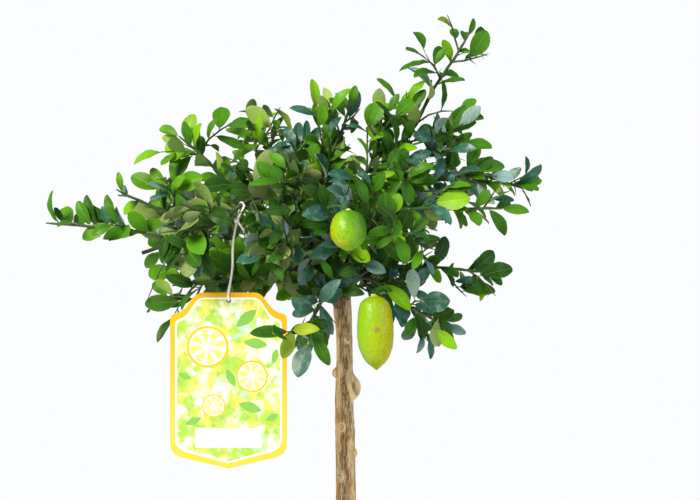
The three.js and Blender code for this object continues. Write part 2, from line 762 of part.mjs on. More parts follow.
addNode("pot", potSolid(), finish(COLOURS.clay, 0.85));
addNode("soil", soilSolid(), finish(COLOURS.soil, 1));
addNode("trunk", stemSolid(), finish(COLOURS.bark, 0.9));
for (const { name, solid } of boughSolids()) {
  addNode(`bough_${name}`, solid, finish(COLOURS.bough, 0.7));
}
for (const mass of masses) {
  addNode(`foliage_${mass.space.name}`, mass.solid(), finish(COLOURS.leaf, 0.45));
}
addNode("hang_tag", tagSolid(), finish(COLOURS.card, 0.4));
addNode("tag_string", stringSolid(), finish(COLOURS.string, 0.9));

export default plant;
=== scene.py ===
"""A finger lime grown as a standard in a clay pot, built leaf by leaf around its fixed frame.

Metres, +Z up, and -Y is the side of the crown that carries the hang tag. Run as a script in Blender 4.5.
"""

import math
from contextlib import contextmanager
from functools import partial
from itertools import product

import bmesh
import bpy
import numpy as np
from mathutils import Matrix, Quaternion, Vector, geometry, noise


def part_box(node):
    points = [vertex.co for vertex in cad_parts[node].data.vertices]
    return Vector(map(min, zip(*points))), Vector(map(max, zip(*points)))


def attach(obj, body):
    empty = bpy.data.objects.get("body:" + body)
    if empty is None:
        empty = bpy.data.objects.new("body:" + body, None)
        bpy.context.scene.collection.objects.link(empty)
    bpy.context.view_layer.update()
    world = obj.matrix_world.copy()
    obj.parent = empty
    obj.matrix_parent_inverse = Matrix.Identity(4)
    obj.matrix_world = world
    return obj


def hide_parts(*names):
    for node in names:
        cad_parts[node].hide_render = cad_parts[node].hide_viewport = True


bl_info = {
    "name": "Finger Lime Tree",
    "version": (1, 0, 0),
    "blender": (4, 5, 0),
    "location": "View3D > Sidebar > Finger Lime",
    "description": "Builds a finger lime standard in a clay pot, leaf by leaf, with its fruit and hang tag",
    "category": "Add Mesh",
}

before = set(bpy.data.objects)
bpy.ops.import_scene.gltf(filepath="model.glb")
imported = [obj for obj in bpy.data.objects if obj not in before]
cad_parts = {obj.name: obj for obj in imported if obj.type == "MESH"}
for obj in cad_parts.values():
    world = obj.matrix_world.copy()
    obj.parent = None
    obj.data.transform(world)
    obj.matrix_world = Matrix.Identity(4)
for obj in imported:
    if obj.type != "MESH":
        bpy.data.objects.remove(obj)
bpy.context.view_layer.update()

MM = 0.001
SEED = 222
UP = Vector((0, 0, 1))


def mm(*values):
    """A vector from millimetres."""
    return Vector(values) * MM


def linear(hex_colour):
    """An sRGB hex colour as linear RGBA."""
    shares = [int(hex_colour[i : i + 2], 16) / 255 for i in (0, 2, 4)]
    return tuple(c / 12.92 if c <= 0.04045 else ((c + 0.055) / 1.055) ** 2.4 for c in shares) + (1.0,)


# ------------------------------------------------------------------------------ the plant's plan

SOIL_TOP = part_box("soil")[1].z
STEM_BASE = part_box("trunk")[0].z

# The stem's centre line and radius, in millimetres, at rises above the soil.
STEM_LINE = (
    # rise, x, y, radius
    (0, 0, 0, 15),
    (10, 0, 0, 11.8),
    (32, 0.8, 0.6, 10.3),
    (100, 2.2, 1.4, 9.6),
    (174, 1.7, 0.4, 9),
    (224, 0.8, -1.2, 8.9),
    (252, 0, -0.8, 8.2),
    (292, 0.6, -0.4, 7.3),
    (312, 0, 0, 7.3),
    (328, -1.3, 0.6, 8.4),
    (354, -2, 0, 7.4),
    (366, -2, 0, 4.6),
)

# Healed scars: kind, rise above the soil, azimuth in degrees from +X, radius, and how far they stand out.
STEM_KNOTS = (
    ("stub", 274, 182, 3.6, 3.6),
    ("hollow", 262, -44, 6.6, 6.8),
    ("stub", 304, -70, 3.0, 2.2),
    ("stub", 205, -8, 3.0, 2.1),
    ("stub", 185, -118, 3.2, 2.0),
    ("eye", 228, -112, 3.6, 0.7),
    ("stub", 118, 40, 3.4, 2.2),
    ("stub", 70, 160, 3.6, 2.3),
)

# Each bough, and the mass of foliage that it carries, in millimetres. A bough leaves the stem at a rise
# above the soil, or another bough at a share of its length. The mass fills the space within its reach of
# the line from the bough's tip to its far end. Fullness is the share of its buds that grow out, and its
# sprays take their tints from the two named last. Those tints paint light in part: sunlit as painted
# light on the upper and left masses, deep partly as painted shade on the inner and lower ones, and waxy
# partly as painted reflection of the cool light from the right.
LIMBS = (
    # name, carrier, place, tip, thick, end, reach, fullness, tints
    ("left_long", "stem", 340, (-146, -35, 559), (3.6, 1.7), (-240, -30, 578), 25, 0.55, "fresh sunlit"),
    ("upper_left", "stem", 356, (-89, -20, 590), (3.8, 1.8), (-132, -25, 642), 34, 0.45, "sunlit fresh"),
    ("front_left", "stem", 346, (-86, -97, 582), (3.4, 1.7), (-115, -108, 557), 40, 0.86, "deep fresh"),
    ("lower_left", "stem", 326, (-49, -36, 531), (2.9, 1.6), (-133, -50, 521), 31, 0.75, "deep fresh"),
    ("top_middle", "stem", 362, (-17, -28, 599), (3.6, 1.7), (1, -35, 668), 29, 0.75, "fresh sunlit"),
    ("leader", "stem", 360, (52, 0, 640), (4, 1.7), (99, -5, 728), 30, 0.25, "fresh sunlit"),
    ("right_upper", "stem", 352, (65, -28, 607), (3.6, 1.8), (151, -35, 604), 26, 0.6, "waxy fresh"),
    ("right_middle", "stem", 347, (45, -58, 581), (3.3, 1.7), (128, -65, 582), 26, 0.6, "fresh deep"),
    ("right_lower", "stem", 334, (34, -38, 534), (3.3, 1.8), (115, -42, 532), 29, 0.55, "deep waxy"),
    ("lower_right", "stem", 338, (29, -52, 519), (2.6, 1.5), (72, -62, 484), 32, 0.5, "waxy deep"),
    ("low_spray", "stem", 330, (-18, -55, 506), (2.4, 1.4), (-33, -72, 475), 27, 0.12, "waxy deep"),
    ("front_middle", "stem", 350, (-5, -66, 556), (2.9, 1.6), (-15, -96, 578), 38, 0.85, "deep waxy"),
    ("back_left", "stem", 350, (-85, 55, 577), (3.8, 1.9), (-138, 104, 574), 50, 0.82, "fresh deep"),
    ("back_middle", "stem", 358, (-20, 70, 597), (3.6, 1.8), (-25, 128, 612), 54, 0.86, "fresh deep"),
    ("back_right", "stem", 344, (40, 58, 584), (3.6, 1.8), (75, 110, 598), 46, 0.78, "fresh deep"),
    ("back_low", "stem", 332, (-20, 62, 537), (2.9, 1.7), (-38, 112, 536), 40, 0.78, "deep fresh"),
    (
        "left_shoulder", "left_long", 0.5, (-128, -8, 567), (2.4, 1.5),
        (-188, -15, 596), 28, 0.45, "sunlit fresh",
    ),
    ("crest_left", "upper_left", 0.55, (-73, 34, 589), (2.6, 1.6), (-79, 42, 648), 37, 0.64, "fresh sunlit"),
    ("crest_middle", "upper_left", 0.35, (-41, 2, 588), (2.5, 1.5), (-36, -4, 626), 35, 0.85, "waxy deep"),
    ("front_inner", "front_left", 0.4, (-31, -74, 548), (2.2, 1.4), (-66, -104, 548), 38, 0.85, "deep waxy"),
    ("top_right", "leader", 0.35, (15, -32, 604), (2.6, 1.6), (39, -34, 656), 36, 0.65, "fresh sunlit"),
    ("right_shoulder", "leader", 0.6, (66, -12, 625), (2.4, 1.5), (93, -16, 658), 31, 0.58, "fresh sunlit"),
    ("front_right", "right_middle", 0.4, (27, -78, 559), (2.3, 1.4), (47, -98, 559), 34, 0.8, "deep fresh"),
)
# Share of a mass's leaves that lean back, so that their undersides face out of the crown.
LEAN_BACK = {"lower_left": 0.55, "front_left": 0.5, "front_inner": 0.42, "left_long": 0.2, "leader": 0}
LEAN_BACK_USUAL = 0.06
BOUGH_LIFT = 0.45  # how strongly a bough starts out upwards
BOUGH_EASE = 0.36  # share of the chord that each end's tangent holds
SHOOTS = {"first": 0.2, "apart": 9 * MM, "length": 36 * MM, "reach": 44 * MM, "floor": 503 * MM}

# Fruit: mass, top and bottom of its axis and radius in millimetres, and its finish.
FRUITS = (
    ("lower_right", (25, -82, 510), (27, -83, 449), 15.2, "ripe"),
    ("front_middle", (4, -126, 579), (4, -131, 547), 14.6, "young"),
    ("back_low", (26, 140, 500), (28, 142, 444), 13.5, "ripe"),
    ("back_middle", (-50, 176, 590), (-51, 180, 560), 12.5, "young"),
)
FRUIT_SCAR = mm(26.9, -98, 482.8)  # a corky rub mark on the ripe fruit in front
# Half-profile of a fruit from its stalk to its blossom end: share of the length, share of the radius.
FRUIT_PROFILE = (
    (0.0, 0.0), (0.006, 0.22), (0.03, 0.5), (0.09, 0.78), (0.2, 0.91), (0.38, 0.985), (0.54, 1.0),
    (0.7, 0.92), (0.82, 0.73), (0.9, 0.51), (0.945, 0.28), (0.975, 0.15), (1.0, 0.0),
)

FRUIT_GAP = 1.5  # millimetres that limbs and leaves keep from a fruit
STRING_GAP = 4.5 * MM
TAG_GAP = 4 * MM
TWIG_GAP, LEAF_GAP = 0.4 * MM, 1 * MM  # what they keep besides from whatever is in their way

# Growth of twigs and leaves, for the main twig of a mass, its side twigs and the finer ones on them.
TWIG_RADIUS = (1.75, 0.95, 0.62)
TWIG_LENGTH = (0.35, 1.05, 0.5)  # past the line, and then as shares of the mass's reach
TWIG_SHARE = (1.0, 1.0, 0.4)  # how many of the carrying twig's nodes bear one
TWIG_WANDER = (0.13, 0.2, 0.24)
TWIG_TAPER = 0.42
TOWARDS_END = 0.4  # how strongly a main twig turns to the far end of its space
TURN_UP = 0.05  # how strongly the others turn up
SIDE_LEAN = (52, 14)  # degrees between a side twig and its carrier, and their spread
SHOOT_LEAN = (60, 18)
NEXT_RANK = math.radians(137.5)  # turn round the twig from one leaf or side twig to the next
PLACES = (0.42, 0.92)  # of the two leaves along an internode
SPACE_MARGIN = 0.03  # share of a mass's reach kept between neighbouring masses
LEAF_LEAN = math.radians(54)
END_LEAN = math.radians(20)
LEAF_TRIES = 10
LEAF_SHAPES = (0, 1, 2, 3, 3, 4, 4, 5, 5, 5, 6, 6)  # the mix of blades, as rows of BLADES
YOUNG_SHARE, FADING_SHARE, STRAY_SHARE = 0.035, 0.01, 0.255  # leaves that don't take their spray's tint
LEAF_FACING = {"up": 0.5, "outward": 0.8, "window": 0.75, "scatter": 0.5}
WINDOW_REACH = 90 * MM  # leaves from here forwards turn to the window in front
CROWN_MIDDLE = mm(-20, 30, 560)
OPEN_FRONT = 60 * MM  # leaves keep this far out of the way in front of a fruit or the string

SPRAY_BOW = 0.1  # how far a side spray bows upwards, as a share of its length

# Side sprays that stand out of the crown's outline, by mass: a place near the limb that each one leaves,
# and its tip.
SPRAYS = {
    "leader": (
        ((62, -4, 661), (96, -14, 668)), ((55, -2, 645), (47, -12, 677)), ((84, -5, 700), (70, -16, 713)),
    ),
    "top_middle": (((-20, -30, 613), (-24, -40, 666)),),
    "top_right": (((7, -32, 618), (20, -40, 651)), ((18, -38, 603), (42, -52, 615))),
    "upper_left": (
        ((-113, -20, 624), (-137, -30, 638)), ((-118, -18, 616), (-154, -34, 631)),
        ((-120, -16, 647), (-97, -22, 657)),
    ),
    "crest_left": (((-47, 20, 621), (-81, -6, 645)), ((-59, 10, 635), (-63, -6, 654))),
    "crest_middle": (((-38, -10, 609), (-48, -20, 630)),),
    "left_long": (((-181, -33, 576), (-194, -48, 568)), ((-140, -33, 560), (-168, 22, 580))),
    "left_shoulder": (((-153, -12, 570), (-146, -24, 604)),),
    "right_upper": (
        ((51, -20, 634), (95, -26, 607)), ((55, -12, 637), (98, -30, 638)),
        ((68, -18, 624), (90, -32, 631)), ((90, -30, 606), (128, 16, 612)),
    ),
    "lower_right": (
        ((53, -58, 493), (64, -72, 505)), ((54, -58, 491), (74, -70, 482)),
        ((29, -50, 519), (58, -56, 515)),
    ),
    "lower_left": (((-124, -48, 510), (-143, -58, 490)),),
    "low_spray": (
        ((-18, -55, 506), (-28, -128, 474)), ((-22, -100, 486), (-46, -134, 478)),
        ((-5, -40, 514), (-12, -58, 519)),
    ),
    "back_left": (
        ((-100, 70, 580), (-95, 130, 602)), ((-110, 80, 577), (-168, 66, 586)),
        ((-60, 45, 570), (-60, 90, 556)),
    ),
    "back_middle": (
        ((-24, 105, 605), (30, 146, 584)), ((-25, 120, 610), (-56, 164, 602)),
        ((-22, 85, 600), (-78, 142, 594)),
    ),
    "back_right": (((52, 75, 587), (112, 62, 592)), ((58, 85, 590), (112, 104, 584))),
    "back_low": (((-25, 82, 537), (16, 128, 528)), ((-28, 90, 537), (-82, 118, 536))),
}

# Dead wood: nodes in millimetres, and radius at foot and tip.
DEAD_WOOD = (
    (((-146, -36, 553), (-157, -37, 550), (-165, -38, 547), (-171, -39, 545)), 1.8, 1.6),
    (((-148, -44, 541), (-155, -46, 530), (-161, -48, 516), (-165, -50, 505)), 0.8, 0.4),
)

STRING_BOUGH = "front_left"
STRING_AT = 0.86  # share of the bough's last quarter
TAG_HOLE_DROP = 6.7 * MM


# ------------------------------------------------------------------------------ limbs


class Random:
    """The source's repeatable stream of random numbers."""

    def __init__(self, seed):
        self.state = seed & 0xFFFFFFFF

    def next(self):
        self.state = (self.state + 0x6D2B79F5) & 0xFFFFFFFF
        t = self.state
        t = (t ^ (t >> 15)) * (t | 1) & 0xFFFFFFFF
        t ^= (t + ((t ^ (t >> 7)) * (t | 61))) & 0xFFFFFFFF
        return ((t ^ (t >> 14)) & 0xFFFFFFFF) / 4294967296

    def spread(self, size):
        return (self.next() * 2 - 1) * size

    def vector(self, size):
        return Vector([self.spread(size) for _ in range(3)])

    def pick(self, choices):
        return choices[int(self.next() * len(choices))]


def stem_at(rise):
    """The stem's centre and radius, in metres, at a rise above the soil in millimetres."""
    rises, xs, ys, radii = zip(*STEM_LINE)
    x, y, radius = (float(np.interp(rise, rises, row)) for row in (xs, ys, radii))
    return Vector((x * MM, y * MM, STEM_BASE + rise * MM)), radius * MM


def square_to(way):
    """A direction square to another, level unless that one is nearly upright."""
    return way.cross(UP if abs(way.z) < 0.9 else Vector((1, 0, 0))).normalized()


def bezier_point(curve, share):
    a, b, c, d = curve
    rest = 1 - share
    return a * rest**3 + b * 3 * share * rest**2 + c * 3 * share**2 * rest + d * share**3


class Bough:
    """A tapering limb on a curve that starts upwards and ends in line with its foliage."""

    def __init__(self, row, boughs):
        self.name, carrier, place, tip, thick, end, reach, self.fullness, tints = row
        self.tints = tints.split()
        start = stem_at(place)[0] if carrier == "stem" else boughs[carrier].point(place)
        self.tip, self.end, self.reach = mm(*tip), mm(*end), reach * MM
        self.thick = [radius * MM for radius in thick]
        self.on_stem = carrier == "stem"
        chord = (self.tip - start).length
        first = ((self.tip - start).normalized() + UP * BOUGH_LIFT).normalized()
        last = (self.end - self.tip).normalized()
        hold = chord * BOUGH_EASE
        self.curve = (start, start + first * hold, self.tip - last * hold, self.tip)

    def point(self, share):
        return bezier_point(self.curve, share)

    def radius(self, share):
        return self.thick[0] + (self.thick[1] - self.thick[0]) * share

    def way(self, share=0.98):
        return (self.point(share + 0.02) - self.point(share - 0.02)).normalized()

    def length(self):
        return sum((self.point((i + 1) / 8) - self.point(i / 8)).length for i in range(8))


BOUGHS = {}
for limb_row in LIMBS:
    BOUGHS[limb_row[0]] = Bough(limb_row, BOUGHS)

string_bough = BOUGHS[STRING_BOUGH]
HOOK = string_bough.point(0.75).lerp(string_bough.point(1), STRING_AT)
tag_low, tag_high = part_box("hang_tag")
TAG_MIDDLE = (tag_low + tag_high) / 2
TAG_HOLE = Vector((TAG_MIDDLE.x, TAG_MIDDLE.y, tag_high.z - TAG_HOLE_DROP))


# ------------------------------------------------------------------------------ where foliage may go


def segment_distances(points, starts, ends):
    """Distances from each point to each segment, as an array of points by segments."""
    spans = ends - starts
    offsets = points[:, None, :] - starts[None]
    shares = (offsets * spans).sum(-1) / np.maximum((spans * spans).sum(-1), 1e-12)
    return np.linalg.norm(offsets - np.clip(shares, 0, 1)[..., None] * spans, axis=-1)


class Room:
    """The masses' spaces, and what their twigs and leaves keep clear of: limbs, fruit, string and tag."""

    def __init__(self):
        boughs = list(BOUGHS.values())
        self.names = list(BOUGHS)
        self.tips = np.array([bough.tip for bough in boughs])
        self.ends = np.array([bough.end for bough in boughs])
        self.reaches = np.array([bough.reach for bough in boughs])
        rods = []
        rises = [row[0] for row in STEM_LINE]
        for low, high in zip(rises, rises[1:]):
            (a, wide), (b, narrow) = stem_at(low), stem_at(high)
            rods.append((a, b, max(wide, narrow)))
        for bough in boughs:
            for i in range(6):
                rods.append((bough.point(i / 6), bough.point((i + 1) / 6), bough.radius(i / 6)))
        for _, top, bottom, radius, _ in FRUITS:
            top, bottom = mm(*top), mm(*bottom)
            rods.append((top, bottom, (radius + FRUIT_GAP) * MM))
            outward = Vector((0, math.copysign(OPEN_FRONT, top.y), 0))
            for share in (0.25, 0.75):
                view = top.lerp(bottom, share)
                rods.append((view, view + outward, radius * 0.7 * MM))
        for step in range(6):
            shift = Vector((0, -OPEN_FRONT * step / 5, 0))
            rods.append((HOOK + shift, TAG_HOLE + shift, STRING_GAP))
        self.rod_starts, self.rod_ends, self.rod_radii = (np.array(column) for column in zip(*rods))

    def in_space(self, name, points):
        """Whether all points lie in the mass's own space, nearer to it than to any other."""
        own = self.names.index(name)
        depths = segment_distances(points, self.tips, self.ends) / self.reaches
        mine = depths[:, own].copy()
        depths[:, own] = np.inf
        return bool((mine < 1).all() and (mine + SPACE_MARGIN < depths.min(axis=1)).all())

    def by_bough(self, name, points):
        """Whether all points lie close enough to a bough for the short shoots along it."""
        bough = BOUGHS[name]
        places = np.array([bough.point(i / 8) for i in range(9)])
        near = segment_distances(points, places[:-1], places[1:]).min(axis=1) < SHOOTS["reach"]
        return bool((near & (points[:, 2] > SHOOTS["floor"])).all())

    def clear(self, points, margin):
        """Whether all points keep clear of every limb, fruit, the string and the tag."""
        distances = segment_distances(points, self.rod_starts, self.rod_ends)
        beside_tag = (points < np.array(tag_low) - TAG_GAP) | (points > np.array(tag_high) + TAG_GAP)
        return bool((distances > self.rod_radii + margin).all() and beside_tag.any(axis=1).all())


# ------------------------------------------------------------------------------ twigs and leaves


class Twig:
    def __init__(self, nodes, level, tint):
        self.nodes, self.level, self.tint = nodes, level, tint

    def radius(self, index):
        share = index / (len(self.nodes) - 1)
        return TWIG_RADIUS[self.level] * MM * (1 - TWIG_TAPER * share)


class Leaf:
    """A blade on its twig: where its foot stands, which way it points and which way it faces."""

    def __init__(self, foot, along, face, length, tint, shape, tone):
        self.foot, self.along, self.face = foot, along, face
        self.across = along.cross(face)
        self.length, self.tint, self.shape, self.tone = length, tint, shape, tone
        self.middle = self.at(0.5, 0)
        corners = ((0.12, 0), (0.55, 1), (1, 0.4), (1, -0.4), (0.55, -1))
        self.corners = [self.at(*corner) for corner in corners]

    def at(self, along, across):
        """A place on the folded, drooping blade: shares of its length and of its half width."""
        _, breadth, fold, droop, _, _ = BLADES[self.shape]
        half = abs(across) * breadth * 0.24
        sunk = droop * along**2.2 - half * math.sin(math.radians(fold))
        place = self.along * (along - droop * 0.3 * along**3) + self.across * math.copysign(half, across)
        return self.foot + (place - self.face * sunk) * self.length

    def outline(self):
        """Points on the outline and the rib, close enough to test for a touch."""
        corners = self.corners
        between = [(a + b) / 2 for a, b in zip(corners, corners[1:] + corners[:1])]
        return np.array(corners + between + [self.middle])

    def edges(self):
        return zip(self.corners, self.corners[1:] + self.corners[:1])

    def is_cut(self, start, end):
        """Whether a straight line cuts the blade."""
        line = end - start
        base, left, left_tip, right_tip, right = self.corners
        for triangle in ((base, left, right), (left, left_tip, right), (left_tip, right_tip, right)):
            hit = geometry.intersect_ray_tri(*triangle, line, start, True)
            if hit and (hit - start).dot(line) < line.length_squared:
                return True
        return False

    def straddles(self, other):
        """Whether this blade reaches through the other's plane."""
        heights = [(corner - other.foot).dot(other.face) for corner in self.corners]
        return min(heights) < 0 < max(heights)

    def crosses(self, other):
        if (self.middle - other.middle).length > (self.length + other.length) * 0.56:
            return False
        if not (self.straddles(other) and other.straddles(self)):
            return False
        own_cut = any(other.is_cut(a, b) for a, b in self.edges())
        return own_cut or any(self.is_cut(a, b) for a, b in other.edges())


class LeafGrid:
    """All leaves of the crown, by the cell of space that each one's middle lies in."""

    CELL = 45 * MM

    def __init__(self):
        self.cells = {}

    def cell(self, place):
        return tuple(math.floor(c / self.CELL) for c in place)

    def add(self, leaf):
        self.cells.setdefault(self.cell(leaf.middle), []).append(leaf)

    def near(self, leaf):
        for cell in product(*((c - 1, c, c + 1) for c in self.cell(leaf.middle))):
            yield from self.cells.get(cell, ())


def nearest_limb(place, twigs=()):
    """The nearest point of a bough, or node of the given twigs."""
    limbs = [bough.point(i / 24) for bough in BOUGHS.values() for i in range(5, 25)]
    limbs += [node for twig in twigs for node in twig.nodes]
    return min(limbs, key=lambda limb: (limb - place).length)


class Mass:
    """One mass of foliage: twigs that branch from one main twig, and the leaves along them."""

    def __init__(self, bough, index, room, grid, sizes):
        self.bough, self.room, self.grid, self.sizes = bough, room, grid, sizes
        self.random = Random(SEED + 97 * index)
        self.rank = int(self.random.next() * 3)
        self.twigs, self.leaves, self.spines = [], [], []
        self.in_reach = room.in_space
        length = (bough.end - bough.tip).length + bough.reach * TWIG_LENGTH[0]
        self.grow(bough.tip - bough.way() * MM, bough.way(), length, 0, bough.tints[0])

    def spread(self, limbs):
        """The side sprays that shape the outline, clear of the mass's own space, get their leaves first."""
        self.own = len(self.twigs)
        self.in_reach = lambda name, points: True
        for foot, tip in SPRAYS.get(self.bough.name, ()):
            self.spray(nearest_limb(mm(*foot), limbs), mm(*tip))
        for twig in self.twigs[self.own :]:
            self.dress(twig)

    def spray(self, foot, tip):
        run = tip - foot
        elbow = foot.lerp(tip, 0.45) + UP * (run.length * SPRAY_BOW * 2)
        count = max(2, round(run.length / self.sizes.internode))
        nodes = [foot]
        for i in range(1, count + 1):
            place = bezier_point((foot, foot.lerp(elbow, 0.67), elbow.lerp(tip, 0.33), tip), i / count)
            nodes.append(place + self.random.vector(TWIG_WANDER[1] * self.sizes.internode * 0.4))
        tint = self.random.pick(self.bough.tints)
        self.twigs.append(Twig(nodes, 1, tint))
        self.branch(nodes, 1, tint)

    def fill(self):
        """The leaves of the twigs within the mass's own space."""
        self.in_reach = self.room.in_space
        for twig in self.twigs[: self.own]:
            self.dress(twig)

    def clothe_bough(self):
        """Short shoots along the bough carry its foliage back towards the stem."""
        self.in_reach = self.room.by_bough
        bough, main = self.bough, len(self.twigs)
        count = int(bough.length() * (1 - SHOOTS["first"]) / SHOOTS["apart"])
        for i in range(count):
            share = SHOOTS["first"] + (0.98 - SHOOTS["first"]) * (i + 0.5) / count
            self.rank += 1
            if self.random.next() > bough.fullness:
                continue
            way = bough.way(share)
            side = self.side_way(way, *SHOOT_LEAN)
            start = bough.point(share) + side * (bough.radius(share) * 0.7)
            length = SHOOTS["length"] * (1 + self.random.spread(0.4))
            self.grow(start, side, length, 1, self.random.pick(bough.tints), leaving=True)
        for twig in self.twigs[main:]:
            self.dress(twig)

    def grow(self, start, way, length, level, tint, leaving=False):
        """A twig grows node by node until it would leave its space or touch a limb."""
        step = self.sizes.internode
        nodes = [start]
        for i in range(max(2, round(length / step))):
            place = nodes[-1] + way * step
            if not self.has_room(nodes[-1], place, i == 0 and (leaving or level == 0)):
                break
            nodes.append(place)
            way = self.bend(way, place, level)
        if len(nodes) < 2:
            return
        self.twigs.append(Twig(nodes, level, tint))
        if level + 1 < len(TWIG_RADIUS):
            self.branch(nodes, level, tint)

    def has_room(self, start, end, leaving):
        points = np.array([start.lerp(end, 0.5), end])
        return self.in_reach(self.bough.name, points[1:]) and (leaving or self.room.clear(points, TWIG_GAP))

    def bend(self, way, place, level):
        """A main twig turns towards the far end of its space, and the others turn up a little."""
        ahead = self.bough.end - place
        if level == 0 and ahead.length > 2 * self.sizes.internode:
            way = way + ahead.normalized() * TOWARDS_END
        if level > 0:
            way = way + UP * TURN_UP
        return (way.normalized() + self.random.vector(TWIG_WANDER[level])).normalized()

    def branch(self, nodes, level, tint):
        """Side twigs leave in turn round their carrier."""
        for i, (a, b) in enumerate(zip(nodes, nodes[1:])):
            self.rank += 1
            if i == len(nodes) - 2 or self.random.next() > TWIG_SHARE[level + 1] * self.bough.fullness:
                continue
            side = self.side_way((b - a).normalized(), *SIDE_LEAN)
            spray = self.random.pick((tint, tint, *self.bough.tints))
            self.grow(a.lerp(b, 0.6), side, self.bough.reach * TWIG_LENGTH[level + 1], level + 1, spray)

    def side_way(self, way, degrees, spread):
        """The way of a side twig, at an angle to its carrier's."""
        lean = math.radians(degrees + self.random.spread(spread))
        out = self.out_of(way, self.rank)
        return way * math.cos(lean) + out * math.sin(lean)

    def out_of(self, way, rank):
        """A direction square to a twig, a third of a turn and a bit further for each rank."""
        return Quaternion(way, rank * NEXT_RANK + self.random.spread(0.3)) @ square_to(way)

    def dress(self, twig):
        """Two leaves along each internode, the last of them pointing ahead, and a spine here and there."""
        last = len(twig.nodes) - 2
        bare_share = 0.1 + 0.3 * (1 - self.bough.fullness)
        for i, (a, b) in enumerate(zip(twig.nodes, twig.nodes[1:])):
            way = (b - a).normalized()
            for place in PLACES:
                self.rank += 1
                ends = i == last and place == PLACES[-1]
                bare = self.random.next() < bare_share
                if ends or not bare:
                    self.add_leaf(a.lerp(b, place), way, twig, END_LEAN if ends else LEAF_LEAN)
            if self.random.next() < self.sizes.spine_share:
                self.add_spine(a.lerp(b, PLACES[0]), way)

    def add_spine(self, foot, way):
        out = self.out_of(way, self.rank)
        self.spines.append((foot, (way * 0.45 + out).normalized(), 1 + self.random.spread(0.35)))

    def add_leaf(self, foot, way, twig, lean):
        for attempt in range(LEAF_TRIES):
            leaf = self.pose_leaf(foot, way, twig, self.rank + attempt, lean)
            outline = leaf.outline()
            if not self.in_reach(self.bough.name, outline) or not self.room.clear(outline, LEAF_GAP):
                continue
            if any(leaf.crosses(other) for other in self.grid.near(leaf)):
                continue
            self.leaves.append(leaf)
            self.grid.add(leaf)
            return

    def pose_leaf(self, foot, way, twig, rank, lean):
        """The blade's upper side looks up and outwards from the crown, as leaves turn to the light."""
        out = self.out_of(way, rank)
        lean += self.random.spread(0.2)
        along = way * math.cos(lean) + out * math.sin(lean)
        outward = (foot - CROWN_MIDDLE).normalized() * LEAF_FACING["outward"]
        to_window = min(1, max(0, (CROWN_MIDDLE.y - foot.y) / WINDOW_REACH + 0.4))
        outward.y -= to_window * LEAF_FACING["window"]
        if self.random.next() < LEAN_BACK.get(self.bough.name, LEAN_BACK_USUAL):
            outward = outward * -0.8
        light = UP * LEAF_FACING["up"] + outward + self.random.vector(LEAF_FACING["scatter"])
        face = (light - along * light.dot(along)).normalized()
        length = self.sizes.length * (1 + self.random.spread(self.sizes.length_spread))
        tint = self.leaf_tint(twig.tint)
        shape = self.random.pick(LEAF_SHAPES)
        return Leaf(foot, along, face, length, tint, shape, self.random.next())

    def leaf_tint(self, spray):
        """Most leaves take their spray's tint."""
        chance = self.random.next()
        if chance < YOUNG_SHARE:
            return "young"
        if chance < YOUNG_SHARE + FADING_SHARE:
            return "fading"
        stray = chance < YOUNG_SHARE + FADING_SHARE + STRAY_SHARE
        return self.random.pick(("deep", "waxy", "fresh")) if stray else spray


# ------------------------------------------------------------------------------ small tools


def polar(angle, radius=1.0, z=0.0):
    """A place beside the Z axis."""
    return Vector((math.cos(angle) * radius, math.sin(angle) * radius, z))


def angles_round(count):
    return [2 * math.pi * k / count for k in range(count)]


def hump(place, middle=0.0, width=1.0, power=2):
    """A soft hump of height 1 about a middle."""
    return math.exp(-(((place - middle) / width) ** power))


def stir(*parts):
    """A colour stirred together from shares of others."""
    return tuple(min(1, sum(share * colour[i] for share, colour in parts)) for i in range(3)) + (1.0,)


def add_node(tree, kind, inputs=None, **settings):
    """A node with its settings; its inputs take a value, a socket, or a node's first output in use."""
    node = tree.nodes.new(kind)
    for name, value in settings.items():
        setattr(node, name, value)
    for key, value in (inputs or {}).items():
        if isinstance(value, bpy.types.Node):
            value = next(output for output in value.outputs if output.enabled)
        if isinstance(value, bpy.types.NodeSocket):
            tree.links.new(value, node.inputs[key])
        else:
            node.inputs[key].default_value = value
    return node


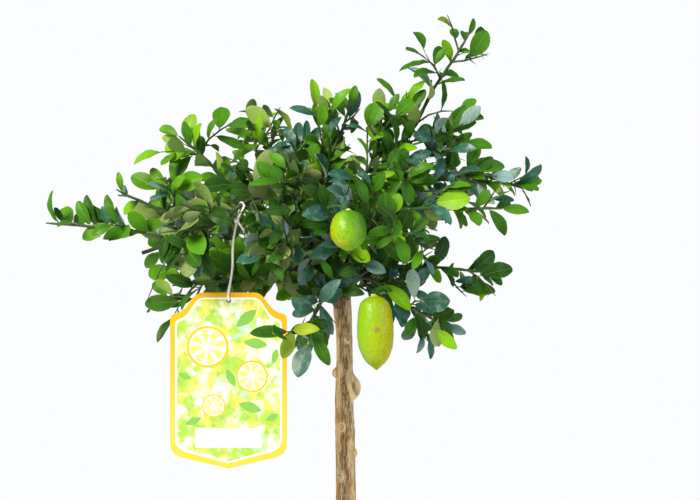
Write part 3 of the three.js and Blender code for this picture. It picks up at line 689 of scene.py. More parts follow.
class Finish:
    """A material in the making: layers of colour over a base, then its shader."""

    def __init__(self, name, base):
        self.material = bpy.data.materials.new(name)
        self.material.use_nodes = True
        self.material.node_tree.nodes.clear()
        self.add = partial(add_node, self.material.node_tree)
        self.base = tuple(base)

    def blotches(self, size, detail=3.0, rough=0.55, stretch=1):
        """A cloudy pattern through the piece: blotches of about a size in metres, drawn out upwards."""
        place = self.add("ShaderNodeTexCoord").outputs["Object"]
        scale = (1 / size, 1 / size, 1 / (size * stretch))
        mapped = self.add("ShaderNodeMapping", {"Vector": place, "Scale": scale})
        inputs = {"Vector": mapped, "Scale": 1.0, "Detail": detail, "Roughness": rough}
        return self.add("ShaderNodeTexNoise", inputs)

    def height(self):
        """Height above the floor, in metres."""
        place = self.add("ShaderNodeTexCoord").outputs["Object"]
        return self.add("ShaderNodeSeparateXYZ", {0: place}).outputs[2]

    def layer(self, colour, *masks):
        """Lays a colour over the base. Each mask's share goes from first to last as its pattern rises."""
        shares = []
        for pattern, low, high, *ends in masks:
            first, last = ends or (0.0, 1.0)
            inputs = {0: pattern, 1: low, 2: high, 3: first, 4: last}
            shares.append(self.add("ShaderNodeMapRange", inputs, interpolation_type="SMOOTHSTEP"))
        share = shares[0]
        for other in shares[1:]:
            share = self.add("ShaderNodeMath", {0: share, 1: other}, operation="MULTIPLY")
        inputs = {0: share, 6: self.base, 7: tuple(colour)}
        self.base = self.add("ShaderNodeMix", inputs, data_type="RGBA")
        return share

    def done(self, relief=None, depth=0.0, **values):
        """Joins colour and relief, of a depth in metres, to a shader with plain values."""
        inputs = {name.replace("_", " "): value for name, value in values.items()}
        inputs["Base Color"] = self.base
        if relief:
            bump = {"Height": relief, "Distance": depth, "Strength": 1.0}
            inputs["Normal"] = self.add("ShaderNodeBump", bump)
        shader = self.add("ShaderNodeBsdfPrincipled", inputs)
        self.add("ShaderNodeOutputMaterial", {"Surface": shader})
        return self.material


def new_tree(name, sockets):
    """A geometry tree for a modifier, what adds a node to it, and its named inputs."""
    tree = bpy.data.node_groups.new(name, "GeometryNodeTree")
    tree.is_modifier = True
    for label, kind in sockets.items():
        tree.interface.new_socket(label, in_out="INPUT", socket_type="NodeSocket" + kind)
    tree.interface.new_socket("Mesh", in_out="OUTPUT", socket_type="NodeSocketGeometry")
    return tree, partial(add_node, tree), tree.nodes.new("NodeGroupInput").outputs


def end_tree(add, whole, material):
    """The end of each tree: real mesh with its material."""
    whole = add("GeometryNodeRealizeInstances", {"Geometry": whole})
    whole = add("GeometryNodeSetMaterial", {"Geometry": whole, "Material": material})
    add("NodeGroupOutput", {"Mesh": whole})


def make_real(piece):
    """What the piece's modifiers show becomes its own mesh, and they come off."""
    bpy.context.view_layer.update()
    evaluated = piece.evaluated_get(bpy.context.evaluated_depsgraph_get())
    made, old = bpy.data.meshes.new_from_object(evaluated), piece.data
    piece.modifiers.clear()
    piece.data = made
    bpy.data.meshes.remove(old)
    made.name = piece.name
    return piece


def grown(name, mesh, tree, values):
    """A new object whose mesh is what the tree makes of the given one, without the attributes it grew by."""
    piece = add_piece(name, mesh)
    modifier = piece.modifiers.new("Growth", "NODES")
    modifier.node_group = tree
    for item in tree.interface.items_tree:
        if item.in_out == "INPUT" and item.name in values:
            modifier[item.identifier] = values[item.name]
    attributes = make_real(piece).data.attributes
    for label in ("thick", "size", "turn", "shape", "part"):
        if label in attributes:
            attributes.remove(attributes[label])
    return piece


def give(mesh, label, values, kind="FLOAT", domain="POINT"):
    mesh.attributes.new(label, kind, domain).data.foreach_set("value", values)


def mesh_of(name, vertices, faces=(), edges=(), smooth=False, **attributes):
    """A mesh from lists, with float attributes on its points."""
    mesh = bpy.data.meshes.new(name)
    mesh.from_pydata([tuple(v) for v in vertices], edges, faces)
    for label, values in attributes.items():
        give(mesh, label, np.asarray(values, dtype=np.float32))
    if smooth:
        mesh.polygons.foreach_set("use_smooth", [True] * len(mesh.polygons))
    mesh.update()
    return mesh


@contextmanager
def opened(mesh):
    """A mesh as a bmesh, written back at the end."""
    bm = bmesh.new()
    bm.from_mesh(mesh)
    yield bm
    bm.to_mesh(mesh)
    bm.free()


def facing_out(mesh, merge=0.0):
    """A closed mesh with its faces turned outwards, once doubles within a distance are merged."""
    with opened(mesh) as bm:
        if merge:
            bmesh.ops.remove_doubles(bm, verts=bm.verts, dist=merge)
        bmesh.ops.recalc_face_normals(bm, faces=bm.faces)
    return mesh


def add_piece(name, data, *materials):
    for material in materials:
        data.materials.append(material)
    piece = bpy.data.objects.new(name, data)
    bpy.context.scene.collection.objects.link(piece)
    return piece


def settle(piece, slot, *nodes):
    """The piece rides on the plant's one body, and stands for its CAD nodes."""
    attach(piece, "root")
    if nodes:
        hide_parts(*nodes)


def joined_rings(rows, sides, closed=True, inward=False):
    """Faces that join each ring of vertices to the next, and close both ends."""
    faces = []
    for row in range(0, (rows - 1) * sides, sides):
        for k in range(sides):
            a, b = row + k, row + (k + 1) % sides
            faces.append((a, b, b + sides, a + sides))
    if closed:
        last = (rows - 1) * sides
        faces += [tuple(range(sides))[::-1], tuple(range(last, last + sides))]
    return [(face[0], *face[:0:-1]) for face in faces] if inward else faces


def frames_along(points):
    """A side and an across direction at each point of a path, carried along without twisting."""
    last = len(points) - 1
    ways = [(points[min(i + 1, last)] - points[max(i - 1, 0)]).normalized() for i in range(last + 1)]
    side = square_to(ways[0])
    frames = []
    for way in ways:
        side = (side - way * side.dot(way)).normalized()
        frames.append((side.copy(), way.cross(side)))
    return frames


def tube(points, radii, sides, offset=None):
    """Vertices and faces of a closed tube; offset(i, angle) adds to the radius there."""
    vertices = []
    for i, (point, (side, across)) in enumerate(zip(points, frames_along(points))):
        for angle in angles_round(sides):
            out = side * math.cos(angle) + across * math.sin(angle)
            vertices.append(point + out * (radii[i] + (offset(i, angle) if offset else 0)))
    return vertices, joined_rings(len(points), sides)


def join_arrays(parts):
    """One list of vertices and one of faces from several pairs of them."""
    vertices, faces = [], []
    for some_vertices, some_faces in parts:
        base = len(vertices)
        vertices.extend(some_vertices)
        faces.extend(tuple(v + base for v in face) for face in some_faces)
    return vertices, faces


# ------------------------------------------------------------------------------ leaves

# Half width of a blade along its length, as shares of the length: stalk, base, broadest part, round tip.
BLADE_OUTLINE = (
    (0.0, 0.018), (0.1, 0.02), (0.15, 0.075), (0.24, 0.132), (0.37, 0.196), (0.51, 0.236),
    (0.65, 0.24), (0.78, 0.207), (0.89, 0.15), (0.96, 0.092), (1.0, 0.024),
)
BLADE_THICK = 0.02
STALK_HALF = 0.03  # half widths up to this belong to the stalk and tip, which don't broaden
RIB_SHARE = 0.035  # half width of the pale midrib, as a share of the blade's
UPPER, RIB, UNDERSIDE, STALK = range(4)
BLADE_FINISHES = ("Upper side", "Rib", "Underside", "Stalk")
# Points of a row across a blade: how far out, as a share of the half width, and how far down.
BLADE_ROW = ((-1, 0), (-RIB_SHARE, 0), (RIB_SHARE, 0), (1, 0), (0, BLADE_THICK))
# Faces between a row, 0 to 4, and the next, 5 to 9. Both sides split along the same diagonals.
BLADE_FACES = (
    (UPPER, (0, 1, 6)), (UPPER, (0, 6, 5)), (RIB, (1, 2, 7, 6)), (UPPER, (2, 3, 7)), (UPPER, (3, 8, 7)),
    (UNDERSIDE, (4, 0, 9)), (UNDERSIDE, (0, 5, 9)), (UNDERSIDE, (3, 4, 9)), (UNDERSIDE, (3, 9, 8)),
)

# Shapes of blade: breadth, fold along the rib in degrees, droop of the tip, twist in degrees, waviness.
BLADES = (
    ("round", 1.2, 12, 0.1, 6, 0.01),
    ("broad", 1.08, 10, 0.17, -9, 0.012),
    ("cupped", 0.96, 20, 0.24, -12, 0.014),
    ("flat", 0.92, 6, 0.08, 9, 0.016),
    ("folded", 0.96, 32, 0.17, 14, 0.01),
    ("slender", 0.68, 14, 0.28, -18, 0.014),
    ("curled", 0.84, 22, 0.4, 18, 0.016),
)

# Each tint of leaf: what its lighter leaves turn to, how much of that its underside takes, and its gloss. The
# waxy tint's blue-green and its pale bloom are partly painted reflection of the sky.
TINTS = {
    "sunlit": ("young", 0.4, 0.14),
    "fresh": ("sunlit", 0.4, 0.14),
    "deep": ("fresh", 0.4, 0.14),
    "waxy": ("bloom", 0.6, 0.45),
    "young": ("sunlit", 0.4, 0.14),
    "fading": ("ripe", 0.4, 0.14),
}


def blade_mesh(breadth, fold, droop, twist, wave):
    """A closed blade, 1 long along +Y, with its upper side to +Z."""
    fold, twist = math.radians(fold), math.radians(twist)
    vertices, faces, parts, shares = [], [], [], []
    for along, half in BLADE_OUTLINE:
        half *= breadth if half > STALK_HALF else 1
        for across, sunk in BLADE_ROW:
            x = across * half * math.cos(fold)
            z = abs(across) * half * math.sin(fold) - sunk - droop * along**2.2
            z += wave * math.sin(along * 15 + math.copysign(1.2, across)) * abs(across)
            turn = twist * along
            y = along - droop * 0.3 * along**3
            vertices.append((x * math.cos(turn) - z * math.sin(turn) * 0.3, y, z + x * math.sin(turn)))
            shares.append((across * 0.5 + 0.5, along))
    for row in range(len(BLADE_OUTLINE) - 1):
        for part, corners in BLADE_FACES:
            faces.append(tuple(5 * row + corner for corner in corners))
            parts.append(part if row else STALK)
    faces += [(4, 3, 2, 1, 0), tuple(range(len(vertices) - 5, len(vertices)))]
    parts += [STALK, STALK]
    mesh = mesh_of("blade", vertices, faces)
    give(mesh, "part", parts, "INT", "FACE")
    layer = mesh.uv_layers.new(name="UVMap")
    for loop in mesh.loops:
        layer.data[loop.index].uv = shares[loop.vertex_index]
    ends = [sorted(edge.vertices) for edge in mesh.edges]
    give(mesh, "sharp_edge", [b - a == 5 and a % 5 in (0, 3) for a, b in ends], "BOOLEAN", "EDGE")
    return mesh


def blade_collection():
    """The shapes of blade, kept out of the scene, for the leaf tree to pick from."""
    collection = bpy.data.collections.new("Blades")
    for i, (name, *shape) in enumerate(BLADES):
        collection.objects.link(bpy.data.objects.new(f"{i}_{name}", blade_mesh(*shape)))
    return collection


def points_mesh(places, turns, sizes, **attributes):
    """Loose points for shapes to stand on, each with its turn and size."""
    mesh = mesh_of("points", places, size=sizes, **attributes)
    give(mesh, "turn", [component for turn in turns for component in turn], "QUATERNION")
    return mesh


def shapes_on(add, points, shapes, choice=None):
    """A shape on each point, turned and sized by the point's own attributes."""
    turn = add("GeometryNodeInputNamedAttribute", {"Name": "turn"}, data_type="QUATERNION")
    size = add("GeometryNodeInputNamedAttribute", {"Name": "size"}, data_type="FLOAT")
    inputs = {"Points": points, "Instance": shapes, "Rotation": turn, "Scale": size}
    return add("GeometryNodeInstanceOnPoints", inputs | (choice or {}))


def leaf_tree():
    """Puts a blade on each point, with a finish for each of its parts."""
    sockets = {"Points": "Geometry", "Blades": "Collection"} | dict.fromkeys(BLADE_FINISHES, "Material")
    tree, add, given = new_tree("Leaves on twigs", sockets)
    inputs = {"Collection": given["Blades"], "Separate Children": True, "Reset Children": True}
    blades = add("GeometryNodeCollectionInfo", inputs)
    shape = add("GeometryNodeInputNamedAttribute", {"Name": "shape"}, data_type="INT")
    whole = shapes_on(add, given["Points"], blades, {"Pick Instance": True, "Instance Index": shape})
    whole = add("GeometryNodeRealizeInstances", {"Geometry": whole})
    whole = add("GeometryNodeSetShadeSmooth", {"Geometry": whole})
    for part, label in enumerate(BLADE_FINISHES):
        own = add("GeometryNodeInputNamedAttribute", {"Name": "part"}, data_type="INT")
        chosen = add("FunctionNodeCompare", {2: own, 3: part}, data_type="INT", operation="EQUAL")
        inputs = {"Geometry": whole, "Selection": chosen, "Material": given[label]}
        whole = add("GeometryNodeSetMaterial", inputs)
    add("NodeGroupOutput", {"Mesh": whole})
    return tree


def leaf_points(leaves):
    """A point for each leaf, with its turn, size, tone and shape."""
    turns = [Matrix((leaf.across, leaf.along, leaf.face)).transposed().to_quaternion() for leaf in leaves]
    tones = [leaf.tone for leaf in leaves]
    mesh = points_mesh([leaf.foot for leaf in leaves], turns, [leaf.length for leaf in leaves], tone=tones)
    give(mesh, "shape", [leaf.shape for leaf in leaves], "INT")
    return mesh


def leaf_upper_finish(name, colour, lighter, gloss):
    """Waxy citrus leaf: a glossy cuticle over green, no two leaves quite alike, with painted shade towards
    the stalk; veins just raised.
    """
    finish = Finish(name, colour)
    uv = finish.add("ShaderNodeUVMap", uv_map="UVMap")
    across, along, _ = finish.add("ShaderNodeSeparateXYZ", {0: uv}).outputs
    mottle = finish.blotches(7 * MM, 3.0, 0.6)
    tone = finish.add("ShaderNodeAttribute", attribute_name="tone").outputs["Fac"]
    shade = stir((0.55, colour))
    # Leaves of a low tone turn lighter; on waxy leaves that is the pale bloom, partly a painted sky
    # reflection.
    finish.layer(lighter, (tone, 0.0, 0.5, 0.6, 0.0))
    finish.layer(shade, (tone, 0.5, 1.0, 0.0, 0.7))
    finish.layer(lighter, (mottle, 0.45, 0.7, 0.0, 0.25))
    # Painted shade: the blade darkens towards its stalk, where it sits inside the spray.
    finish.layer(shade, (along, 0.15, 0.7, 0.55, 0.0))
    # Side veins leave the rib at a slant, about one every 3 mm.
    apart = finish.add("ShaderNodeMath", {0: across, 1: 0.5}, operation="SUBTRACT")
    apart = finish.add("ShaderNodeMath", {0: apart}, operation="ABSOLUTE")
    slant = finish.add("ShaderNodeMath", {0: apart, 1: -0.75, 2: along}, operation="MULTIPLY_ADD")
    vein = finish.add("ShaderNodeMath", {0: slant, 1: 62.0}, operation="MULTIPLY")
    vein = finish.add("ShaderNodeMath", {0: vein}, operation="SINE")
    relief = finish.add("ShaderNodeMath", {0: vein, 1: 0.5, 2: mottle}, operation="MULTIPLY_ADD")
    spread = {"Subsurface_Weight": 0.2, "Subsurface_Radius": (0.5, 1.0, 0.1), "Subsurface_Scale": 2 * MM}
    wax = {"Roughness": 0.5, "Coat_Weight": gloss, "Coat_Roughness": 0.3}
    return finish.done(relief, 0.12 * MM, IOR=1.4, Specular_IOR_Level=0.16, **wax, **spread)


def leaf_plain_finish(name, colour, darker, roughness):
    """The matt parts of a leaf, such as its underside and rib, with a fine net of veins."""
    finish = Finish(name, colour)
    # Real veins of the net lie closer, too fine to show.
    net, cloud = finish.blotches(2.2 * MM, 2.0, 0.5), finish.blotches(20 * MM, 2.0, 0.5)
    share = finish.add("ShaderNodeMath", {0: net, 1: cloud}, operation="MULTIPLY")
    finish.layer(darker, (share, 0.14, 0.46, 0.0, 0.45))
    return finish.done(net, 0.1 * MM, Roughness=roughness, IOR=1.4, Specular_IOR_Level=0.2)


# ------------------------------------------------------------------------------ twigs and spines

TWIG_SIDES = 7
DEAD_WOOD_SIDES = 9


def twig_tree():
    """Skins lines of nodes as round twigs, each as thick as its points say."""
    tree, add, given = new_tree("Twig skin", {"Lines": "Geometry", "Sides": "Int", "Bark": "Material"})
    thick = add("GeometryNodeInputNamedAttribute", {"Name": "thick"}, data_type="FLOAT")
    curve = add("GeometryNodeMeshToCurve", {"Mesh": given["Lines"]})
    ring = add("GeometryNodeCurvePrimitiveCircle", {"Resolution": given["Sides"], "Radius": 1.0})
    inputs = {"Curve": curve, "Profile Curve": ring, "Scale": thick, "Fill Caps": True}
    skin = add("GeometryNodeCurveToMesh", inputs)
    end_tree(add, add("GeometryNodeSetShadeSmooth", {"Geometry": skin}), given["Bark"])
    return tree


def twig_lines(lines):
    """A mesh of open lines from lists of points and radii."""
    vertices, edges, thick = [], [], []
    for points, radii in lines:
        base = len(vertices)
        vertices.extend(points)
        thick.extend(radii)
        edges.extend((base + i, base + i + 1) for i in range(len(points) - 1))
    return mesh_of("lines", vertices, edges=edges, thick=thick)


def twig_line(twig):
    """A twig's points with a slight swelling at each node, where its leaves and spines sit."""
    points, radii = [], []
    last = len(twig.nodes) - 1
    for i, node in enumerate(twig.nodes):
        points.append(node)
        radii.append(twig.radius(i) * (0.55 if i == last else 1.14))
        if i < last:
            points.append(node.lerp(twig.nodes[i + 1], 0.4))
            radii.append(twig.radius(i + 0.4) * 0.94)
    return points, radii


def stalk_line(mass, top, bottom):
    """A fruit's stalk, from the nearest twig node in its mass to its top."""
    top, bottom = mm(*top), mm(*bottom)
    nodes = [node for twig in mass.twigs for node in twig.nodes]
    start = min(nodes, key=lambda node: (node - top).length + max(0, top.z - node.z) * 3)
    elbow = start.lerp(top, 0.6)
    elbow.z = max(elbow.z, top.z + 5 * MM)
    curve = (start, start.lerp(elbow, 0.7), elbow, top.lerp(bottom, 0.02))
    shares = [i / 10 for i in range(11)]
    return [bezier_point(curve, share) for share in shares], [(1.0 + 0.5 * share**3) * MM for share in shares]


def spine_mesh():
    """A straight sharp spine, 1 long along +Z."""
    mesh = bpy.data.meshes.new("spine")
    with opened(mesh) as bm:
        bmesh.ops.create_cone(bm, cap_ends=True, segments=5, radius1=0.07, radius2=0.008, depth=1.0)
        bmesh.ops.translate(bm, verts=bm.verts, vec=(0, 0, 0.48))
    return mesh


def spine_tree():
    """Puts a spine on each point."""
    sockets = {"Points": "Geometry", "Shape": "Object", "Finish": "Material"}
    tree, add, given = new_tree("Spines on twigs", sockets)
    shape = add("GeometryNodeObjectInfo", {"Object": given["Shape"], "As Instance": True}).outputs["Geometry"]
    end_tree(add, shapes_on(add, given["Points"], shape), given["Finish"])
    return tree


def young_bark_finish(name, green, brown):
    """Smooth young bark: thin green skin that browns and cracks with age, by the piece's own age."""
    finish = Finish(name, green)
    age = finish.add("ShaderNodeAttribute", attribute_name="age").outputs["Fac"]
    streak, fleck = finish.blotches(5 * MM, 4.0, 0.6), finish.blotches(1.5 * MM, 2.0, 0.5)
    shifted = finish.add("ShaderNodeMath", {0: streak, 1: 0.5, 2: age}, operation="MULTIPLY_ADD")
    finish.layer(brown, (shifted, 0.55, 1.15))
    finish.layer(stir((1.4, green), (0.01, (1, 1, 1))), (fleck, 0.6, 0.75, 0.0, 0.5))
    return finish.done(fleck, 0.3 * MM, Roughness=0.6, IOR=1.45)


# ------------------------------------------------------------------------------ stem and boughs

RING_STEP = 1.1 * MM
STEM_SIDES = 90
SMOOTHING = 11  # rings over which the stem's line is smoothed
BOUGH_SIDES = 12
ROOT_FLARE = 20 * MM  # how far up the roots show
SCAR_SPAN = 30 * MM
NODE_APART = 13 * MM  # between two nodes of a young bough
CROTCH = Vector((0, 0, STEM_BASE + 345 * MM))
CORK_REACH = 100 * MM  # how far from the crotch a bough turns from tan bark to green


def knot_relief(knot, around, up):
    """How far a healed scar lifts the bark at a place beside its middle, and its painted shade there: above
    zero, painted shade in its hollow, core or groove; below zero, a painted highlight on its lip.
    """
    kind, _, _, radius, proud = knot
    radius, proud = radius * MM, proud * MM
    apart = math.hypot(around, up / (1.5 if kind == "hollow" else 1.1)) / radius
    if apart > 2.6:
        return 0.0, 0.0
    if kind == "stub":
        lift = hump(apart, power=2.6) - 0.3 * hump(apart, 0, 0.35) - 0.16 * hump(apart, 1.35, 0.3)
        core = 0.55 * hump(apart, 0, 0.36) - 0.8 * hump(apart, 0.8, 0.3)
        return proud * lift, core + 0.5 * hump(apart, 1.4, 0.22)
    if kind == "hollow":
        slot = math.hypot((around + 0.12 * up) / 0.3, (up - 0.15 * radius) / 0.95) / radius
        lift = hump(apart, 0, 1.1, 4) + 0.2 * hump(slot, 1.5, 0.45) - 0.6 * hump(slot, power=3)
        return proud * lift, 1.1 * hump(slot, 0, 0.9, 3) - 0.9 * hump(slot, 1.7, 0.6)
    return proud * hump(apart, 0.8, 0.38), 0.5 * hump(apart, 0, 0.5) - 0.6 * hump(apart, 0.9, 0.3)


def bark_noise(place, across, along):
    """Noise at a place, its blotches so wide across and so long along the stem, in metres."""
    return noise.noise(Vector((place.x / across, place.y / across, place.z / along)))


def furrow_at(angle, height, radius):
    """Depth of the bark's furrows, 0 to 1: long cracks that fork and close, in strips round the stem."""
    place = polar(angle) * radius
    place.z = height
    sway = 0.55 * math.sin(height / (55 * MM)) + 0.4 * noise.noise(Vector((0.3, 0.1, height / (70 * MM))))
    strip = 0.46 + 0.6 * math.cos(3 * (angle + math.pi / 2) + sway) + 0.7 * bark_noise(place, 9 * MM, 50 * MM)
    strip = max(0.0, min(1.0, strip))
    return strip * max(0.0, 1 - abs(bark_noise(place, 2.8 * MM, 20 * MM)) / 0.22), strip


def stem_mesh():
    """The stem from the soil to its crotch, with root flare, furrowed bark and healed scars."""
    top = STEM_LINE[-1][0] * MM
    count = int(top / RING_STEP)
    rises = np.linspace(0, top, count + 1)
    kernel = np.hanning(SMOOTHING) / np.hanning(SMOOTHING).sum()
    stations, *columns = np.array(STEM_LINE, dtype=float).T
    smooth = []
    for column in columns:
        padded = np.pad(np.interp(rises / MM, stations, column), SMOOTHING // 2, mode="edge")
        smooth.append(np.convolve(padded, kernel, mode="valid") * MM)
    knots = []
    for knot in STEM_KNOTS:
        ring = min(count, int(round(knot[1] * MM / RING_STEP)))
        knots.append((knot, math.radians(knot[2]), rises[ring]))
    vertices, furrows, strips = [], [], []
    for x, y, radius, rise in zip(*smooth, rises):
        for angle in angles_round(STEM_SIDES):
            furrow, strip = furrow_at(angle, rise, radius)
            out = radius * (0.96 + 0.035 * noise.noise(polar(angle, 1, rise / (30 * MM))))
            out += 0.3 * MM * noise.noise(polar(angle, 3, rise / (6 * MM))) - 0.45 * MM * furrow
            scar = 0.0
            for knot, azimuth, height in knots:
                if abs(rise - height) < SCAR_SPAN:
                    turn = (angle - azimuth + math.pi) % (2 * math.pi) - math.pi
                    lift, shade = knot_relief(knot, turn * radius, rise - height)
                    out += lift
                    scar = max(scar, shade, key=abs)
            if rise < ROOT_FLARE:
                root = math.cos(5 * angle + 0.6) * 0.5 + 0.5
                out += radius * 0.12 * root * (1 - rise / ROOT_FLARE) ** 2
            vertices.append(Vector((x, y, STEM_BASE + rise)) + polar(angle) * out)
            # The furrow attribute carries the furrows' depth, or where stronger a scar's painted shade and
            # highlight.
            furrows.append(scar if abs(scar) > 0.1 else furrow)
            strips.append(strip * (1 - min(1.0, abs(scar) * 2)))
    faces = joined_rings(count + 1, STEM_SIDES)
    return mesh_of("stem", vertices, faces, smooth=True, furrow=furrows, strip=strips)


def bark_finish(colours):
    """Citrus bark: tan cork, paler on its ridges, with grey-brown furrows that hold the shade."""
    finish = Finish("furrowed bark", colours.pale)
    furrow = finish.add("ShaderNodeAttribute", attribute_name="furrow").outputs["Fac"]
    strip = finish.add("ShaderNodeAttribute", attribute_name="strip").outputs["Fac"]
    blotch = finish.blotches(7 * MM, 4.0, 0.6, stretch=3)
    grain = finish.blotches(1.2 * MM, 3.0, 0.6, stretch=9)
    line = finish.blotches(1.5 * MM, 3.0, 0.6, stretch=10)
    brown = stir((0.56, colours.tan), (0.35, colours.dark))
    finish.layer(colours.tan, (blotch, 0.44, 0.66))
    finish.layer(brown, (grain, 0.5, 0.7, 0.0, 0.55))
    finish.layer(brown, (strip, 0.35, 1.0, 0.0, 0.5))
    apart = finish.add("ShaderNodeMath", {0: line, 1: 0.5}, operation="SUBTRACT")
    apart = finish.add("ShaderNodeMath", {0: apart}, operation="ABSOLUTE")
    crack = finish.layer(colours.dark, (apart, 0.01, 0.06, 0.78, 0.0), (strip, 0.0, 0.6, 0.25, 1.0))
    # Painted shade over the furrows' own grey-brown: dark in the furrows, the knots' hollows and the stubs'
    # cores.
    finish.layer(colours.dark, (furrow, 0.35, 1.0, 0.0, 0.6))
    # Painted highlight: pale on the lips round the knots.
    finish.layer(colours.pale, (furrow, -0.6, -0.1, 0.8, 0.0))
    relief = finish.add("ShaderNodeMath", {0: crack, 1: -0.8, 2: grain}, operation="MULTIPLY_ADD")
    return finish.done(relief, 0.5 * MM, Roughness=0.88, IOR=1.4)


def bough_parts(bough):
    """A bough's skin, flared where it leaves its carrier, with nodes along it and an age at each point."""
    length = (bough.tip - bough.curve[0]).length * 1.08
    steps = max(10, int(length / (2.2 * MM)))
    points = [bough.point(i / steps) for i in range(steps + 1)]
    radii, ages = [], []
    flared, flare_reach = (0.55, 7 * MM) if bough.on_stem else (0.35, 4 * MM)
    for i, point in enumerate(points):
        along = i / steps * length
        node = 0.1 * max(0.0, math.cos(along / NODE_APART * 2 * math.pi)) ** 6
        radii.append(bough.radius(i / steps) * (1 + flared * math.exp(-along / flare_reach) + node))
        ages += [max(0.0, 1 - (point - CROTCH).length / CORK_REACH)] * BOUGH_SIDES

    def grain(i, angle):
        place = points[i] + polar(angle, 1, math.cos(angle * 2)) * (2 * MM)
        return radii[i] * 0.09 * noise.noise(place / (3.2 * MM))

    return tube(points, radii, BOUGH_SIDES, grain), ages


# ------------------------------------------------------------------------------ fruit

FRUIT_RINGS = 96
FRUIT_SIDES = 112
GLAND_SIZE = 2.8 * MM  # real oil glands are about 1 mm apart, too fine to show
SCAR_SIZE = 2.6 * MM
CALYX_SIDES = 25
# Rings of a calyx down its fruit's axis, in millimetres: how far below the fruit's top, and radius.
CALYX_RINGS = ((-1.6, 1.1), (-0.9, 1.6), (0.1, 2.6), (0.75, 3.4), (1.1, 3.2), (1.4, 0.4))


def fruit_part(top, bottom, radius, kind, seed):
    """A fruit's skin: full shoulders, a short nipple, and peel pebbled by its oil glands."""
    top, bottom = mm(*top), mm(*bottom)
    axis = bottom - top
    turn = UP.rotation_difference(axis)
    along = (1 - np.cos(np.linspace(0, math.pi, FRUIT_RINGS))) / 2
    profile = np.interp(along, *zip(*FRUIT_PROFILE))
    # The flank share is highest towards this way, where the peel is greener, and falls towards the blossom
    # end. On the young fruit the flanks are painted light and shade: yellow to the lower left, darker green
    # to the upper right.
    greener_way = Vector((1, 0.45, 0)).normalized() * math.copysign(1, top.y)
    if kind == "young":
        profile = 0.5 * profile + 0.5 * np.sqrt(1 - (2 * along - 1) ** 2)
        greener_way = Vector((-greener_way.x, greener_way.y, -0.6)).normalized()
    profile[2:-2] = np.convolve(profile, (0.1, 0.2, 0.4, 0.2, 0.1), mode="valid")
    shift = Vector((3.1, 1.7, 0.9)) * seed
    vertices, flanks, scars = [], [], []
    for share, out in zip(along, profile):
        for angle in angles_round(FRUIT_SIDES):
            way, drop = polar(angle), Vector((0, 0, share * axis.length))
            place = way * (out * radius * MM) + drop
            swell = 1 + 0.03 * noise.noise(place / (24 * MM) + shift)
            gland = noise.voronoi(place / GLAND_SIZE + shift)[0][0]
            lift = 0.22 * MM * max(0.0, 0.6 - gland) / 0.6 - 0.1 * MM
            scar = hump((top + turn @ place - FRUIT_SCAR).length, 0, SCAR_SIZE, 4)
            lift = lift * (1 - scar) + 0.25 * MM * scar
            vertices.append(top + turn @ (way * (out * radius * MM * swell + lift * min(1, out * 2)) + drop))
            flanks.append(0.5 + 0.5 * (turn @ way).dot(greener_way) - 0.35 * (share - 0.5))
            scars.append(scar)
    return (vertices, joined_rings(FRUIT_RINGS, FRUIT_SIDES, closed=False, inward=True)), flanks, scars


def fruit_finish(name, body, flush, deep_green_and_shade):
    """Finger lime peel: waxy and dimpled, greener on one flank and yellower on the other and towards the
    blossom end, on the young fruit as painted light and shade; its oil glands a little darker.
    """
    finish = Finish(name, flush)
    cloud, gland = finish.blotches(24 * MM, 2.0, 0.5), finish.blotches(2.2 * MM, 2.0, 0.55)
    flank = finish.add("ShaderNodeAttribute", attribute_name="flank").outputs["Fac"]
    scar = finish.add("ShaderNodeAttribute", attribute_name="scar").outputs["Fac"]
    # How green the peel is follows the flank share, broken by clouds: painted light and shade on the young
    # fruit.
    share = finish.add("ShaderNodeMath", {0: cloud, 1: 0.9, 2: flank}, operation="MULTIPLY_ADD")
    finish.layer(body, (share, 0.6, 1.1))
    finish.layer(deep_green_and_shade, (share, 1.05, 1.45, 0.0, 0.8))
    finish.layer(deep_green_and_shade, (gland, 0.5, 0.7, 0.0, 0.55))
    finish.layer(linear("9C7A3C"), (scar, 0.3, 0.7, 0.0, 0.9))
    spread = {"Subsurface_Weight": 0.12, "Subsurface_Radius": (4 * MM, 4 * MM, MM), "Subsurface_Scale": 1.0}
    wax = {"Roughness": 0.38, "Coat_Weight": 0.12, "Coat_Roughness": 0.22}
    return finish.done(gland, 0.6 * MM, IOR=1.42, Specular_IOR_Level=0.3, **wax, **spread)


def calyx_part(top, bottom):
    """The five-lobed green cap where a fruit hangs on its stalk."""
    top, bottom = mm(*top), mm(*bottom)
    turn = UP.rotation_difference(bottom - top)
    vertices = []
    for drop, out in CALYX_RINGS:
        for angle in angles_round(CALYX_SIDES):
            lobe = 1 + (0.28 * math.cos(5 * angle) if out > 2 else 0)
            vertices.append(top + turn @ (polar(angle, lobe) * out * MM + UP * drop * MM))
    return vertices, joined_rings(len(CALYX_RINGS), CALYX_SIDES, inward=True)


# ------------------------------------------------------------------------------ tag and string

TAG_BORDER = 4.1 * MM
TAG_KEYLINE = 1.3 * MM
TAG_THICK = 0.8 * MM
TAG_FRONT, TAG_BACK = TAG_MIDDLE.y - TAG_THICK / 2, TAG_MIDDLE.y + TAG_THICK / 2
HOLE_RADIUS = 2.1 * MM
STRING_PLY = 0.95 * MM
STRING_PITCH = 3.6 * MM
INK_THICK = 0.05 * MM

# The tag's print, in millimetres across from its middle and down from its top.
SLICES = ((-17, 44, 17, 0.2), (19, 68, 13, 0.5), (-12, 92, 9.5, 0.1))  # across, down, radius, turn in radians
LEAF_PRINTS = (  # foot across and down, degrees, length
    (6, 28, 40, 22), (12, 40, -8, 20), (36, 58, 75, 13), (-30, 70, 160, 12),
    (-2, 62, -62, 16), (8, 90, -18, 20), (30, 104, 25, 12), (-22, 102, 200, 14),
)
BARE_STRIP = (110, 126, 27)  # from, to, half width
INK_LAYERS = {"rind": 2, "pith": 3, "pulp": 4, "leaf": 1, "bare": 2}


